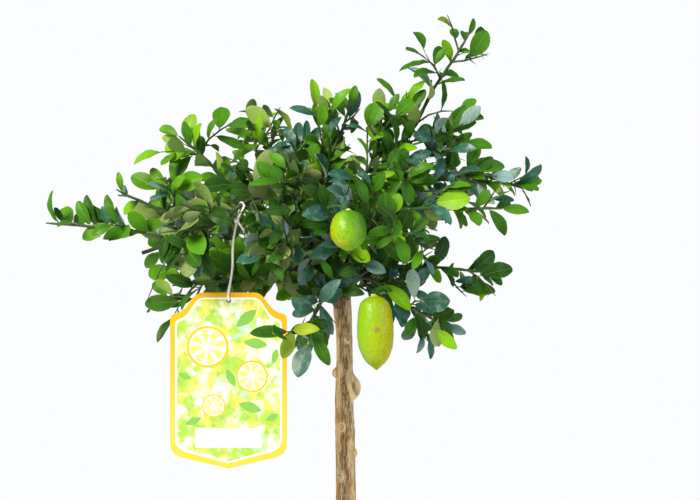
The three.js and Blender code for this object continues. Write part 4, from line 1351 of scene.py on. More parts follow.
def tag_outline(inset):
    """The tag's outline seen from its front, drawn in: neck, hollow shoulders, sides, blunt point."""
    half = (tag_high.x - tag_low.x) / 2 - inset
    top, foot = tag_high.z - inset, tag_low.z + inset * 1.08
    neck, shoulder, side_foot = 21.5 * MM - inset * 0.35, top - 17 * MM - inset * 0.05, foot + 11 * MM

    def at(x, z, across=0, up=0):
        return Vector((x + across * MM, z + up * MM))

    hollow_end, side_end = at(half, shoulder, -4), at(half, side_foot, -9, -2)
    curves = (
        (14, at(neck, top), at(neck, top, 9), at(neck, shoulder, 10, 2), hollow_end),
        (8, hollow_end, *(at(half, shoulder, *beside) for beside in ((-1.3, -0.7), (0, -2.6), (0, -6)))),
        (8, at(half, side_foot, 0, 9), at(half, side_foot, 0, 3.6), at(half, side_foot, -3), side_end),
    )
    right = [bezier_point(curve, i / count) for count, *curve in curves for i in range(count)]
    right += [side_end, Vector((0, foot))]
    left = [Vector((-p.x, p.y)) for p in reversed(right[:-1])]
    return [Vector((TAG_MIDDLE.x + p.x, p.y)) for p in right + left]


def plate(outline, front, back):
    """A flat plate between two depths."""
    vertices = [Vector((p.x, depth, p.y)) for depth in (front, back) for p in outline]
    return vertices, joined_rings(2, len(outline))


def card_mesh():
    """The card: its front has a printed border, a bare keyline and a printed field, one inside the other."""
    rings = [tag_outline(inset) for inset in (0, TAG_BORDER, TAG_BORDER + TAG_KEYLINE)]
    count = len(rings[0])
    vertices = [Vector((p.x, TAG_FRONT, p.y)) for ring in rings for p in ring]
    vertices += [Vector((p.x, TAG_BACK, p.y)) for p in rings[0]]
    bare, border, field = range(3)
    faces, finishes = [], []
    for ring, onward, finish in ((0, 1, border), (1, 2, bare), (3, 0, bare)):
        for k in range(count):
            a, b = ring * count, onward * count
            following = (k + 1) % count
            faces.append((a + k, a + following, b + following, b + k))
            finishes.append(finish)
    faces += [tuple(range(2 * count, 3 * count)), tuple(range(3 * count, 4 * count))[::-1]]
    finishes += [field, bare]
    mesh = mesh_of("card", vertices, faces)
    mesh.polygons.foreach_set("material_index", finishes)
    return facing_out(mesh)


def pierced(card):
    """The card with its string hole cut through."""
    mesh = bpy.data.meshes.new("drill")
    with opened(mesh) as bm:
        size = {"radius1": HOLE_RADIUS, "radius2": HOLE_RADIUS, "depth": 20 * MM}
        bmesh.ops.create_cone(bm, cap_ends=True, segments=32, **size)
        bmesh.ops.rotate(bm, verts=bm.verts, matrix=Matrix.Rotation(math.pi / 2, 3, "X"))
        bmesh.ops.translate(bm, verts=bm.verts, vec=TAG_HOLE)
    drill = add_piece("drill", mesh)
    cut = card.modifiers.new("Hole", "BOOLEAN")
    cut.operation, cut.solver, cut.object = "DIFFERENCE", "EXACT", drill
    make_real(card)
    bpy.data.objects.remove(drill)
    return card


def disc(middle, radius):
    return [middle + polar(angle).xy * radius for angle in angles_round(40)]


def leaf_print(foot, angle, length):
    """A printed leaf shape."""
    along, across = polar(angle).xy * length, polar(angle + math.pi / 2).xy * length
    right = [(0, 0), (0.15, 0.1), (0.4, 0.2), (0.62, 0.2), (0.85, 0.11), (1, 0)]
    left = [(a, -b) for a, b in reversed(right[1:-1])]
    return [foot + along * a + across * b for a, b in right + left]


def tag_prints():
    """Outlines of the print by ink: three cut citrus slices, leaves between them, and a bare strip below."""

    def at(across, down):
        return Vector((TAG_MIDDLE.x + across * MM, tag_high.z - down * MM))

    prints = {ink: [] for ink in INK_LAYERS}
    segment = ((0.16, 0.0), (0.7, -0.27), (0.8, -0.2), (0.84, 0.0), (0.8, 0.2), (0.7, 0.27))
    for across, down, radius, turn in SLICES:
        middle, radius = at(across, down), radius * MM
        prints["rind"].append(disc(middle, radius))
        prints["pith"].append(disc(middle, radius * 0.88))
        for angle in angles_round(8):
            outline = [middle + polar(turn + angle + sweep).xy * radius * out for out, sweep in segment]
            prints["pulp"].append(outline)
    for across, down, degrees, length in LEAF_PRINTS:
        prints["leaf"].append(leaf_print(at(across, down), math.radians(degrees), length * MM))
    top, foot, half = BARE_STRIP
    prints["bare"].append([at(-half, foot), at(half, foot), at(half, top), at(-half, top)])
    return prints


def print_finish(name, colour, lower=None):
    """Smooth coated card: flat ink with a faint satin and the lightest mottle, fading to the lower colour."""
    finish = Finish(name, colour)
    fibre = finish.blotches(1.4 * MM, 3.0, 0.6)  # coarser than real fibres, which are too fine to show
    if lower:
        finish.layer(lower, (finish.height(), tag_low.z + 20 * MM, tag_high.z - 20 * MM, 1.0, 0.0))
    finish.layer(stir((0.7, colour)), (fibre, 0.45, 0.8, 0.0, 0.3))
    return finish.done(fibre, 0.03 * MM, Roughness=0.34, IOR=1.5)


def field_finish(colours):
    """The printed field: soft dapples of green, yellow and white, as out of focus leaves."""
    finish = Finish("dappled print", colours.field)
    darker = stir((0.6, colours.leaf), (0.4, colours.field))
    finish.layer(colours.glow, (finish.blotches(15 * MM, 2.0), 0.36, 0.66))
    finish.layer(darker, (finish.blotches(6 * MM, 2.0), 0.46, 0.74, 0.0, 0.95))
    finish.layer(colours.white, (finish.blotches(11 * MM, 3.0), 0.46, 0.68))
    finish.layer(linear("CDEFF2"), (finish.blotches(19 * MM, 2.0), 0.54, 0.68, 0.0, 0.6))
    return finish.done(Roughness=0.34, IOR=1.5)


def string_path():
    """The string over its bough, down to its knot, and on through the hole and back; then its loose end."""
    way = (string_bough.point(1) - string_bough.point(0.75)).normalized()
    side = UP.cross(way).normalized()
    over = way.cross(side)
    swing = string_bough.radius(1) + 1.4 * MM
    knot = HOOK + mm(-4.5, 0, -12)
    arc = [math.radians(degrees) for degrees in range(0, 181, 15)]
    loop = [HOOK + side * (math.cos(angle) * swing) + over * (math.sin(angle) * swing) for angle in arc]
    low = TAG_HOLE + UP * MM
    third, middle = knot.lerp(low, 0.3), knot.lerp(low, 0.6)
    hang = [knot, third + mm(-0.9, -0.9, 0), middle + mm(0.6, -0.9, 0)]
    for out, rise in ((-1.9, 6), (-1.5, 1.2), (-0.8, 0), (0, -0.2), (0.8, 0), (1.5, 1.2), (1.9, 6)):
        hang.append(low + mm(0, out, rise))
    hang += [middle + mm(0.2, 1.3, 0), third + mm(-1.3, 1.3, 0), knot]
    loose = [knot, knot + mm(2.6, -1, -3), knot + mm(5.6, -1.6, -7.5), knot + mm(9, -1, -15)]
    return [knot, *loop, knot], hang, loose, knot


def smooth_path(points, step):
    """A Catmull-Rom curve through points, sampled evenly enough for a twisted thread."""
    padded = [points[0] * 2 - points[1], *points, points[-1] * 2 - points[-2]]
    path = []
    for a, b, c, d in zip(padded, padded[1:], padded[2:], padded[3:]):
        count = max(2, int((c - b).length / step))
        for t in (i / count for i in range(count)):
            bend = (a * 2 - b * 5 + c * 4 - d) * t * t + (b * 3 - a - c * 3 + d) * t**3
            path.append(0.5 * (b * 2 + (c - a) * t + bend))
    return path + [points[-1]]


def twisted_thread(points, radius, pitch):
    """Two plies wound round a path."""
    path = smooth_path(points, pitch / 9)
    frames = frames_along(path)
    parts, run = [], [0.0]
    for a, b in zip(path, path[1:]):
        run.append(run[-1] + (b - a).length)
    for start in (0, math.pi):
        ply = []
        for point, (side, across), along in zip(path, frames, run):
            angle = start + 2 * math.pi * along / pitch
            ply.append(point + (side * math.cos(angle) + across * math.sin(angle)) * radius * 0.48)
        parts.append(tube(ply, [radius * 0.56] * len(ply), 6))
    return parts


def string_parts():
    """The string's runs, and the turns of its knot, a little slimmer."""
    *runs, knot = string_path()
    turns = []
    for share in (i / 48 for i in range(49)):
        turns.append(knot + polar(share * 5 * math.pi, 1.5, (share - 0.5) * 2.6) * MM)
    parts = [part for path in runs for part in twisted_thread(path, STRING_PLY, STRING_PITCH)]
    return parts + twisted_thread(turns, STRING_PLY - 0.1 * MM, STRING_PITCH - 0.2 * MM)


def cotton_finish(colour):
    """Bleached cotton: dull and fuzzy, with painted shade a little darker between its fibres."""
    finish = Finish("cotton string", colour)
    fibre = finish.blotches(0.8 * MM, 3.0, 0.7)  # coarser than real fibres, which are too fine to show
    # Painted shade between the fibres.
    finish.layer(stir((0.96, colour)), (fibre, 0.35, 0.7))
    return finish.done(Roughness=0.9, Sheen_Weight=0.3)


# ------------------------------------------------------------------------------ pot and compost

POT_SIDES = 144
POT_FLOOR = 9 * MM
POT_STEP = 4 * MM
COMPOST_RINGS = 34
COMPOST_SIDES = 110
CHIPS = {"Density": 20000.0, "Smallest": 1.2 * MM, "Largest": 4.2 * MM, "Seed": 7}
CHIPS_CLEAR = 15 * MM  # from the stem's middle


def lathe(profile, sides):
    """A closed surface turned about the Z axis; the profile starts and ends on the axis."""
    inner = profile[1:-1]
    vertices = [Vector((0, 0, profile[0][1]))]
    vertices += [polar(angle, radius, z) for radius, z in inner for angle in angles_round(sides)]
    vertices.append(Vector((0, 0, profile[-1][1])))
    top, last = len(vertices) - 1, len(vertices) - 1 - sides
    faces = [(0, 1 + (k + 1) % sides, 1 + k) for k in range(sides)]
    faces += [tuple(v + 1 for v in face) for face in joined_rings(len(inner), sides, closed=False)]
    faces += [(last + k, last + (k + 1) % sides, top) for k in range(sides)]
    return vertices, faces


def rounded(profile, radius, steps=5):
    """A profile whose inner corners are rounded off."""
    points = [profile[0]]
    for before, corner, after in zip(profile, profile[1:], profile[2:]):
        a, b, c = Vector(before), Vector(corner), Vector(after)
        reach = min(radius, (a - b).length * 0.45, (c - b).length * 0.45)
        start, end = b + (a - b).normalized() * reach, b + (c - b).normalized() * reach
        for t in (i / steps for i in range(steps + 1)):
            points.append(tuple(start * (1 - t) ** 2 + b * 2 * t * (1 - t) + end * t * t))
    points.append(profile[-1])
    return points


def pot_mesh(sizes):
    """The pot with its rim band and wall, faint throwing rings and a slight unevenness."""
    rim, height, foot, wall = sizes.rim_radius, sizes.height, sizes.foot_radius, sizes.wall
    body_top, band_foot = rim - sizes.band_proud, height - sizes.band_height

    def body(z):
        return foot + (body_top - foot) * z / height

    profile = [
        (0, 0),
        (foot, 0),
        (body(band_foot), band_foot),
        (rim - 1.2 * MM, band_foot + 0.5 * MM),
        (rim, height - 1 * MM),
        (body_top - wall, height),
        (body(POT_FLOOR) - wall, POT_FLOOR),
        (0, POT_FLOOR),
    ]
    corners = rounded(profile, 2.6 * MM)
    dense = []
    for (r0, z0), (r1, z1) in zip(corners, corners[1:]):
        count = max(1, int(math.hypot(r1 - r0, z1 - z0) / POT_STEP))
        dense += [(r0 + (r1 - r0) * i / count, z0 + (z1 - z0) * i / count) for i in range(count)]
    vertices, faces = lathe(dense + corners[-1:], POT_SIDES)
    for v in vertices:
        if v.z >= 0.5 * MM and v.xy.length >= foot * 0.9:
            ring = 0.16 * MM * math.sin(v.z / (2.1 * MM)) + 0.25 * MM * noise.noise(v / (30 * MM))
            v.xy += v.xy.normalized() * min(ring, rim - v.xy.length)
    return facing_out(mesh_of("pot", vertices, faces, smooth=True))


def clay_finish(colours):
    """Unglazed terracotta: fine sandy grain, softly clouded, with a pale lime bloom towards the foot."""
    finish = Finish("terracotta", colours.clay)
    cloud, patch = finish.blotches(45 * MM, 4.0, 0.55), finish.blotches(18 * MM, 5.0, 0.65)
    grit = finish.blotches(1.1 * MM, 3.0, 0.7)  # coarser than real sand, which is too fine to show
    finish.layer(colours.deep, (cloud, 0.34, 0.7, 0.0, 0.75))
    finish.layer(colours.bloom, (patch, 0.45, 0.72), (finish.height(), 0.0, 70 * MM, 0.75, 0.1))
    finish.layer(colours.deep, (grit, 0.62, 0.78, 0.0, 0.4))
    return finish.done(grit, 0.35 * MM, Roughness=0.9, IOR=1.45)


def compost_mesh(radius):
    """The lumpy top of the compost, drawn up a little round the stem, down to the pot's floor."""
    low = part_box("soil")[0].z
    profile = [(radius * (i / COMPOST_RINGS), SOIL_TOP) for i in range(COMPOST_RINGS + 1)]
    profile += [(radius * 0.96, SOIL_TOP - 20 * MM), (radius * 0.72, low), (0, low)]
    vertices, faces = lathe(profile, COMPOST_SIDES)
    for v in vertices:
        if v.z >= SOIL_TOP - MM:
            lump = 2.2 * MM * noise.noise(v / (16 * MM)) + 1.3 * MM * noise.noise(v / (5 * MM))
            edge = min(1.0, (radius - v.xy.length) / (6 * MM))
            v.z += lump * edge + 1.5 * MM * math.exp(-v.xy.length / (22 * MM))
    faces = [face[::-1] for face in faces]  # the profile runs down, so they start out inside out
    return facing_out(mesh_of("compost", vertices, faces, smooth=True))


def crumb_finish(name, colour, other):
    """Dark, fibrous crumbs that are moist enough to catch a little light."""
    finish = Finish(name, colour)
    crumb, patch = finish.blotches(2.6 * MM, 4.0, 0.7), finish.blotches(12 * MM, 2.0, 0.5)
    share = finish.add("ShaderNodeMath", {0: crumb, 1: patch}, operation="MULTIPLY")
    finish.layer(other, (share, 0.2, 0.42))
    return finish.done(crumb, 0.8 * MM, Roughness=0.85, IOR=1.4)


def chip_mesh():
    """A rough chip of composted bark, about 1 long, flat and narrow."""
    mesh = bpy.data.meshes.new("chip")
    with opened(mesh) as bm:
        bmesh.ops.create_icosphere(bm, subdivisions=2, radius=1.0)
        for v in bm.verts:
            v.co *= 1 + 0.4 * noise.noise(v.co * 1.7 + Vector((4, 2, 1)))
            v.co *= Vector((1, 0.62, 0.36))
    return mesh


def chip_tree():
    """Strews chips over a surface, turned and sized at random from one seed."""
    sockets = {"Ground": "Geometry", "Chip": "Object", "Density": "Float", "Smallest": "Float"}
    sockets |= {"Largest": "Float", "Seed": "Int", "Finish": "Material"}
    tree, add, given = new_tree("Strewn chips", sockets)
    inputs = {"Mesh": given["Ground"], "Density": given["Density"], "Seed": given["Seed"]}
    spots = add("GeometryNodeDistributePointsOnFaces", inputs)
    inputs = {0: (-0.5, -0.5, 0.0), 1: (0.5, 0.5, 2 * math.pi), "Seed": given["Seed"]}
    turn = add("FunctionNodeRandomValue", inputs, data_type="FLOAT_VECTOR")
    inputs = {2: given["Smallest"], 3: given["Largest"], "Seed": given["Seed"]}
    size = add("FunctionNodeRandomValue", inputs, data_type="FLOAT")
    chip = add("GeometryNodeObjectInfo", {"Object": given["Chip"], "As Instance": True}).outputs["Geometry"]
    inputs = {"Points": spots, "Instance": chip, "Rotation": turn, "Scale": size}
    end_tree(add, add("GeometryNodeInstanceOnPoints", inputs), given["Finish"])
    return tree


def bare_ground(compost):
    """The top of the compost's mesh, away from the stem, where chips lie."""
    mesh = compost.copy()
    with opened(mesh) as bm:
        bare = [f for f in bm.faces if f.normal.z < 0.5 or f.calc_center_median().xy.length < CHIPS_CLEAR]
        bmesh.ops.delete(bm, geom=bare, context="FACES")
    return mesh


# ------------------------------------------------------------------------------ sizes and colours


def size_of(name, text, default, low=0.0, high=1.0):
    limits = {"default": default, "min": low, "max": high}
    return bpy.props.FloatProperty(name=name, description=text, unit="LENGTH", precision=5, **limits)


def share_of(name, text, default):
    limits = {"default": default, "min": 0, "max": 1}
    return bpy.props.FloatProperty(name=name, description=text, subtype="FACTOR", **limits)


def colour_of(name, text, hex_colour):
    limits = {"default": linear(hex_colour), "size": 4, "min": 0, "max": 1}
    return bpy.props.FloatVectorProperty(name=name, description=text, subtype="COLOR", **limits)


class LimeFoliageSizes(bpy.types.PropertyGroup):
    """Sizes that leaves, twigs and spines grow by."""

    length: size_of("Leaf length", "Usual length of a leaf with its stalk", 26.5 * MM, 0.01, 0.06)
    length_spread: share_of("Length spread", "How far leaves differ from the usual length", 0.3)
    internode: size_of("Internode", "Twig between two nodes", 11 * MM, 0.004, 0.03)
    spine_share: share_of("Spines", "Share of the nodes that bear a spine", 0.3)
    spine_length: size_of("Spine length", "Usual length of a spine", 8.5 * MM, 0.0, 0.03)


class LimeFoliageColours(bpy.types.PropertyGroup):
    """Colours of leaves, twigs and fruit."""

    sunlit: colour_of("Sunlit leaf", "Leaves in full light", "539112")
    fresh: colour_of("Fresh leaf", "Most outer leaves", "3A7410")
    # Deep leaf: partly the darker green of older leaves, partly painted shade dealt to the inner and lower
    # sprays.
    deep: colour_of("Deep leaf", "Older, darker leaves", "234A12")
    # Waxy leaf: its own blue-green, and partly painted reflection of the cool light from the right.
    waxy: colour_of("Waxy leaf", "Leaves with a blue-green bloom", "2A6250")
    young: colour_of("Young leaf", "New yellow-green leaves", "84BE08")
    # Bloom: pale wax, and partly a painted sky reflection on waxy leaves and their undersides.
    bloom: colour_of("Bloom", "Wax on blue-green leaves, and their undersides", "A4C6CA")
    fading: colour_of("Fading leaf", "Leaves that yellow", "7F9A2E")
    rib: colour_of("Rib", "Midrib of a leaf", "BFC75A")
    stalk: colour_of("Stalk", "Leaf stalk and its joint", "98AA40")
    underside: colour_of("Underside", "Pale underside of a leaf", "969E6C")
    twig: colour_of("Twig", "Young green bark", "31501F")
    bough: colour_of("Bough", "Bark of the boughs", "2C4226")
    brown: colour_of("Old bark", "Bark of the boughs near the stem", "6E5A41")
    dry: colour_of("Dry wood", "Dead twigs and spine tips", "8A6E4C")
    ripe: colour_of("Ripe peel", "Ripening fruit", "9AAE00")
    flush: colour_of("Ripe flank", "The yellower side of a ripe fruit", "CEC400")
    young_peel: colour_of("Young peel", "Unripe fruit", "78AC14")


class LimeBarkColours(bpy.types.PropertyGroup):
    """Colours of the stem's bark."""

    tan: colour_of("Cork", "Tan cork of the stem", "CC9C60")
    pale: colour_of("Ridge", "Paler ridges", "F4D8A6")
    dark: colour_of("Furrow", "Bottom of the furrows", "46382C")


class LimePotSizes(bpy.types.PropertyGroup):
    """Sizes of the clay pot, as in the fixed frame."""

    rim_radius: size_of("Rim radius", "Outer radius of the rim band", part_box("pot")[1].x)
    height: size_of("Height", "Height of the pot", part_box("pot")[1].z)
    foot_radius: size_of("Foot radius", "Radius of the flat underside", 77 * MM)
    wall: size_of("Wall", "Thickness of the wall", 7 * MM)
    band_height: size_of("Band height", "Height of the rim band", 34 * MM)
    band_proud: size_of("Band", "How far the rim band stands out", 5 * MM)


class LimePotColours(bpy.types.PropertyGroup):
    """Colours of the pot and its filling."""

    clay: colour_of("Clay", "Fired clay", "BE7650")
    deep: colour_of("Deep clay", "Darker clouds in the clay", "9E5738")
    bloom: colour_of("Bloom", "Lime that the water leaves behind", "D9BBA2")
    compost: colour_of("Compost", "Moist compost", "2E2119")
    chip: colour_of("Bark chip", "Chips of bark in the compost", "5A4130")


class LimeTagColours(bpy.types.PropertyGroup):
    """Colours of the hang tag's card, inks and string."""

    card: colour_of("Card", "Bare card", "FBFBF6")
    border: colour_of("Border", "Printed border", "EDB008")
    border_low: colour_of("Lower border", "Printed border towards the foot", "EEC744")
    field: colour_of("Field", "Printed green", "A0CC48")
    glow: colour_of("Field glow", "Printed yellow dapples", "E2DE6C")
    white: colour_of("Field white", "Printed white dapples", "F0F2E4")
    leaf: colour_of("Leaf ink", "Printed leaves", "7DBA4C")
    rind: colour_of("Rind ink", "Printed rind", "F2B92E")
    pith: colour_of("Pith ink", "Printed pith", "FDF8DC")
    pulp: colour_of("Pulp ink", "Printed pulp", "F8E27A")
    string: colour_of("String", "Cotton string", "FFFFFC")


class LimeStudio(bpy.types.PropertyGroup):
    """Camera, light and floor."""

    camera: bpy.props.FloatVectorProperty(
        name="Camera", description="Where the camera stands", default=(0.0052, -1.438, 0.5476), subtype="XYZ"
    )
    lens: bpy.props.FloatProperty(name="Lens", description="Focal length in millimetres", default=85.0)
    key: bpy.props.FloatProperty(name="Key light", description="Watts", default=88.0, unit="POWER")
    fill: bpy.props.FloatProperty(name="Fill light", description="Watts", default=16.0, unit="POWER")
    ambient: bpy.props.FloatProperty(name="Ambient", description="Strength of the room's light", default=0.34)
    floor_radius: size_of("Floor", "Where the floor has faded out", 2.1, 0.5, 5.0)


SETTINGS = {
    "lime_sizes": LimeFoliageSizes,
    "lime_colours": LimeFoliageColours,
    "lime_bark": LimeBarkColours,
    "lime_pot": LimePotSizes,
    "lime_pot_colours": LimePotColours,
    "lime_tag": LimeTagColours,
    "lime_studio": LimeStudio,
}
FOLIAGE_NODES = [f"foliage_{name}" for name in BOUGHS]


# ------------------------------------------------------------------------------ operators


class LIME_OT_stage(bpy.types.Operator):
    """Set the pale floor, the soft light and the camera"""

    bl_idname = "lime.stage"
    bl_label = "Stage"

    def execute(self, context):
        scene, studio = context.scene, context.scene.lime_studio
        scene.view_settings.view_transform = "Standard"
        self.add_floor(studio.floor_radius)
        self.add_light("key", (-1.3, -1.5, 1.75), 1.0, studio.key, "FFF4E2")
        self.add_light("fill", (1.7, -1.2, 1.1), 1.5, studio.fill, "E6F0FF")
        self.add_world(scene, studio.ambient)
        lens = bpy.data.cameras.new("camera")
        lens.lens, lens.sensor_width, lens.clip_start = studio.lens, 36.0, 0.01
        camera = add_piece("camera", lens)
        camera.location = studio.camera
        camera.rotation_euler = (math.pi / 2, 0, 0)
        scene.camera = camera
        return {"FINISHED"}

    def add_floor(self, radius):
        """A round floor that fades out before its rim."""
        mesh = bpy.data.meshes.new("floor")
        with opened(mesh) as bm:
            bmesh.ops.create_circle(bm, cap_ends=True, segments=96, radius=radius)
            bmesh.ops.translate(bm, verts=bm.verts, vec=(0, 0, -0.5 * MM))
        finish = Finish("pale floor", linear("F4F4F2"))
        place = finish.add("ShaderNodeTexCoord").outputs["Object"]
        reach = finish.add("ShaderNodeVectorMath", {0: place}, operation="LENGTH").outputs["Value"]
        fade = {0: reach, 1: radius * 0.35, 2: radius * 0.98, 3: 1.0, 4: 0.0}
        alpha = finish.add("ShaderNodeMapRange", fade, interpolation_type="SMOOTHSTEP")
        material = finish.done(Roughness=0.8, Alpha=alpha)
        add_piece("floor", mesh, material)

    def add_light(self, name, place, size, power, hex_colour):
        """A square lamp that shines on the middle of the plant."""
        lamp = bpy.data.lights.new(name, "AREA")
        lamp.energy, lamp.size, lamp.color = power, size, linear(hex_colour)[:3]
        light = add_piece(name, lamp)
        light.location = place
        light.rotation_euler = (Vector((0, 0, 0.5)) - light.location).to_track_quat("-Z", "Y").to_euler()

    def add_world(self, scene, ambient):
        """A white room: the camera sees it bright, and its light on the plant is softer."""
        scene.world = bpy.data.worlds.new("white room")
        scene.world.use_nodes = True
        scene.world.node_tree.nodes.clear()
        add = partial(add_node, scene.world.node_tree)
        seen = add("ShaderNodeBackground", {"Color": linear("FCFDFF"), "Strength": 1.0})
        shed = add("ShaderNodeBackground", {"Color": linear("EEF4FF"), "Strength": ambient})
        straight = add("ShaderNodeLightPath").outputs["Is Camera Ray"]
        both = add("ShaderNodeMixShader", {0: straight, 1: shed, 2: seen})
        add("ShaderNodeOutputWorld", {"Surface": both})


class LIME_OT_pot(bpy.types.Operator):
    """Build the clay pot"""

    bl_idname = "lime.pot"
    bl_label = "Pot"

    def execute(self, context):
        finish = clay_finish(context.scene.lime_pot_colours)
        settle(add_piece("clay_pot", pot_mesh(context.scene.lime_pot), finish), "terracotta", "pot")
        return {"FINISHED"}


class LIME_OT_compost(bpy.types.Operator):
    """Fill the pot with lumpy compost and strew bark chips over it"""

    bl_idname = "lime.compost"
    bl_label = "Compost"

    def execute(self, context):
        colours = context.scene.lime_pot_colours
        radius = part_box("soil")[1].x
        ground = compost_mesh(radius)
        surface, chip = bare_ground(ground), bpy.data.objects.new("chip", chip_mesh())
        crumbs = crumb_finish("moist compost", colours.compost, colours.chip)
        settle(add_piece("compost", ground, crumbs), "compost", "soil")
        values = {"Chip": chip, "Finish": crumb_finish("bark chip", colours.chip, colours.compost)}
        settle(grown("bark_chips", surface, chip_tree(), values | CHIPS), "compost", "soil")
        bpy.data.objects.remove(chip)
        return {"FINISHED"}


class LIME_OT_stem(bpy.types.Operator):
    """Build the furrowed stem, from the compost to its crotch"""

    bl_idname = "lime.stem"
    bl_label = "Stem"

    def execute(self, context):
        settle(add_piece("stem", stem_mesh(), bark_finish(context.scene.lime_bark)), "bark", "trunk")
        return {"FINISHED"}


class LIME_OT_boughs(bpy.types.Operator):
    """Build the boughs, each from the stem or its carrier to its mass of foliage"""

    bl_idname = "lime.boughs"
    bl_label = "Boughs"

    def execute(self, context):
        colours = context.scene.lime_colours
        parts, ages = zip(*(bough_parts(bough) for bough in BOUGHS.values()))
        mesh = facing_out(mesh_of("boughs", *join_arrays(parts), smooth=True, age=sum(ages, [])))
        finish = young_bark_finish("young bark", colours.bough, colours.brown)
        settle(add_piece("boughs", mesh, finish), "green_bark", *[f"bough_{name}" for name in BOUGHS])
        return {"FINISHED"}


class LIME_OT_foliage(bpy.types.Operator):
    """Grow twigs, leaves and spines on from the boughs, each mass in its own space"""

    bl_idname = "lime.foliage"
    bl_label = "Foliage"

    def execute(self, context):
        sizes, colours = context.scene.lime_sizes, context.scene.lime_colours
        room, grid = Room(), LeafGrid()
        masses = [Mass(bough, i, room, grid, sizes) for i, bough in enumerate(BOUGHS.values())]
        limbs = [twig for mass in masses for twig in mass.twigs if twig.level == 0]
        for mass in masses:
            mass.spread(limbs)
        for mass in masses:
            mass.fill()
        for mass in masses:
            mass.clothe_bough()
        self.build_twigs(masses, colours)
        self.build_dead_wood([twig for mass in masses for twig in mass.twigs], colours)
        self.build_spines([spine for mass in masses for spine in mass.spines], sizes, colours)
        self.build_leaves([leaf for mass in masses for leaf in mass.leaves], colours)
        return {"FINISHED"}

    def build_twigs(self, masses, colours):
        lines = [twig_line(twig) for mass in masses for twig in mass.twigs]
        for mass in masses:
            lines += [stalk_line(mass, *row[1:3]) for row in FRUITS if row[0] == mass.bough.name]
        values = {"Bark": young_bark_finish("twig bark", colours.twig, colours.brown), "Sides": TWIG_SIDES}
        settle(grown("twigs", twig_lines(lines), twig_tree(), values), "green_bark", *FOLIAGE_NODES)

    def build_dead_wood(self, twigs, colours):
        lines = []
        for nodes, thick, thin in DEAD_WOOD:
            nodes = [mm(*node) for node in nodes]
            points = [nearest_limb(nodes[0], twigs), *nodes]
            lines.append((points, [float(r) * MM for r in np.linspace(thick, thin, len(points))]))
        values = {"Bark": young_bark_finish("dry wood", colours.bough, colours.dry), "Sides": DEAD_WOOD_SIDES}
        settle(grown("dead_wood", twig_lines(lines), twig_tree(), values), "green_bark")

    def build_spines(self, spines, sizes, colours):
        feet, ways, shares = zip(*spines)
        turns = [UP.rotation_difference(way) for way in ways]
        points = points_mesh(feet, turns, [share * sizes.spine_length for share in shares])
        shape = bpy.data.objects.new("spine", spine_mesh())
        values = {"Shape": shape, "Finish": young_bark_finish("spine", colours.twig, colours.dry)}
        settle(grown("spines", points, spine_tree(), values), "green_bark", *FOLIAGE_NODES)
        bpy.data.objects.remove(shape)

    def build_leaves(self, leaves, colours):
        tree, blades = leaf_tree(), blade_collection()
        stalk = leaf_plain_finish("leaf stalk", colours.stalk, colours.fresh, 0.5)
        for tint, (paler, share, gloss) in TINTS.items():
            own = [leaf for leaf in leaves if leaf.tint == tint]
            if not own:
                raise RuntimeError(f"no leaf has the tint {tint}")
            colour, lighter = getattr(colours, tint), getattr(colours, paler)
            # A waxy leaf's underside takes the bloom, with its painted sky reflection.
            below = stir((1 - share, colours.underside), (share, lighter))
            vein = stir((0.82, colour), (0.18, colours.rib))
            values = {
                "Blades": blades,
                "Upper side": leaf_upper_finish(f"waxy leaf, {tint}", colour, lighter, gloss),
                "Rib": leaf_plain_finish(f"midrib, {tint}", vein, colour, 0.4),
                "Underside": leaf_plain_finish(f"leaf underside, {tint}", below, colour, 0.6),
                "Stalk": stalk,
            }
            settle(grown(f"leaves_{tint}", leaf_points(own), tree, values), "foliage", *FOLIAGE_NODES)


class LIME_OT_fruit(bpy.types.Operator):
    """Build the hanging fruit with their calyxes"""

    bl_idname = "lime.fruit"
    bl_label = "Fruit"

    def execute(self, context):
        colours = context.scene.lime_colours
        finishes = {
            "ripe": fruit_finish("ripe peel", colours.ripe, colours.flush, colours.young_peel),
            # The young fruit's darker flank takes the leaf green as painted shade.
            "young": fruit_finish("young peel", colours.young_peel, colours.ripe, colours.fresh),
        }
        for kind, finish in finishes.items():
            rows = [row for row in FRUITS if row[4] == kind]
            made = [fruit_part(*row[1:], seed) for seed, row in enumerate(rows)]
            parts, flanks, scars = zip(*made)
            arrays = {"flank": sum(flanks, []), "scar": sum(scars, [])}
            mesh = mesh_of(f"fruit_{kind}", *join_arrays(parts), smooth=True, **arrays)
            piece = add_piece(f"fruit_{kind}", facing_out(mesh, merge=0.02 * MM), finish)
            settle(piece, "foliage", *[f"foliage_{row[0]}" for row in rows])
        parts = [calyx_part(top, bottom) for _, top, bottom, _, _ in FRUITS]
        mesh = facing_out(mesh_of("calyxes", *join_arrays(parts), smooth=True))
        finish = leaf_plain_finish("calyx", colours.rib, colours.twig, 0.6)
        settle(add_piece("calyxes", mesh, finish), "foliage")
        return {"FINISHED"}


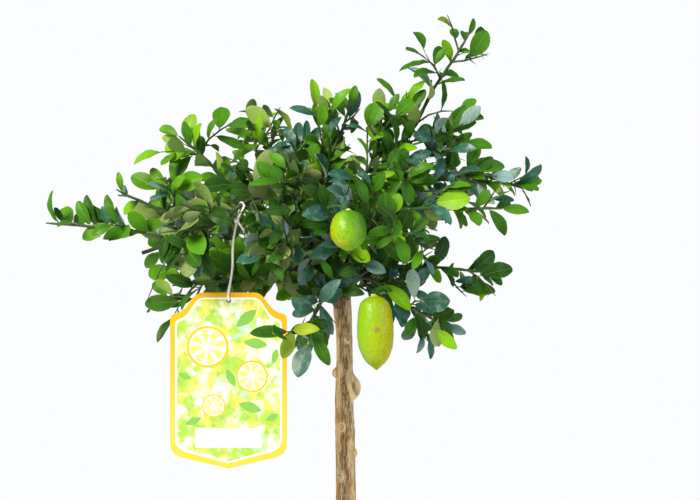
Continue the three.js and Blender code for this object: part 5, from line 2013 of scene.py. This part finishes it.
class LIME_OT_tag(bpy.types.Operator):
    """Build the hang tag's card with its print"""

    bl_idname = "lime.tag"
    bl_label = "Hang tag"

    def execute(self, context):
        colours = context.scene.lime_tag
        stock = print_finish("card stock", colours.card)
        border = print_finish("border ink", colours.border, colours.border_low)
        card = add_piece("tag_card", card_mesh(), stock, border, field_finish(colours))
        settle(pierced(card), "printed_card", "hang_tag")
        for ink, outlines in tag_prints().items():
            front = TAG_FRONT - INK_LAYERS[ink] * INK_THICK
            parts = [plate(outline, front, TAG_FRONT + 0.1 * MM) for outline in outlines]
            mesh = facing_out(mesh_of(f"print_{ink}", *join_arrays(parts)))
            finish = stock if ink == "bare" else print_finish(f"{ink} ink", getattr(colours, ink))
            settle(add_piece(f"print_{ink}", mesh, finish), "printed_card")
        return {"FINISHED"}


class LIME_OT_string(bpy.types.Operator):
    """Build the twisted string with its knot and loose end"""

    bl_idname = "lime.string"
    bl_label = "String"

    def execute(self, context):
        mesh = facing_out(mesh_of("string", *join_arrays(string_parts()), smooth=True))
        finish = cotton_finish(context.scene.lime_tag.string)
        settle(add_piece("string", mesh, finish), "string", "tag_string")
        return {"FINISHED"}


OPERATORS = (
    LIME_OT_stage,
    LIME_OT_pot,
    LIME_OT_compost,
    LIME_OT_stem,
    LIME_OT_boughs,
    LIME_OT_foliage,
    LIME_OT_fruit,
    LIME_OT_tag,
    LIME_OT_string,
)


class LIME_PT_panel(bpy.types.Panel):
    """Lists the plant's sizes and colours, and a button for each piece."""

    bl_idname = "LIME_PT_panel"
    bl_label = "Finger Lime"
    bl_space_type = "VIEW_3D"
    bl_region_type = "UI"
    bl_category = "Finger Lime"

    def draw(self, context):
        for name, group in SETTINGS.items():
            box = self.layout.box()
            box.label(text=group.__doc__)
            settings = getattr(context.scene, name)
            for field in group.__annotations__:
                box.prop(settings, field)
        for operator in OPERATORS:
            self.layout.operator(operator.bl_idname)


def register():
    for group in SETTINGS.values():
        bpy.utils.register_class(group)
    for name, group in SETTINGS.items():
        setattr(bpy.types.Scene, name, bpy.props.PointerProperty(type=group))
    for operator in OPERATORS:
        bpy.utils.register_class(operator)
    bpy.utils.register_class(LIME_PT_panel)


def unregister():
    bpy.utils.unregister_class(LIME_PT_panel)
    for operator in reversed(OPERATORS):
        bpy.utils.unregister_class(operator)
    for name, group in SETTINGS.items():
        delattr(bpy.types.Scene, name)
        bpy.utils.unregister_class(group)


def main():
    register()
    for operator in OPERATORS:
        _, name = operator.bl_idname.split(".")
        getattr(bpy.ops.lime, name)()
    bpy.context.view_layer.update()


if __name__ == "__main__":
    main()
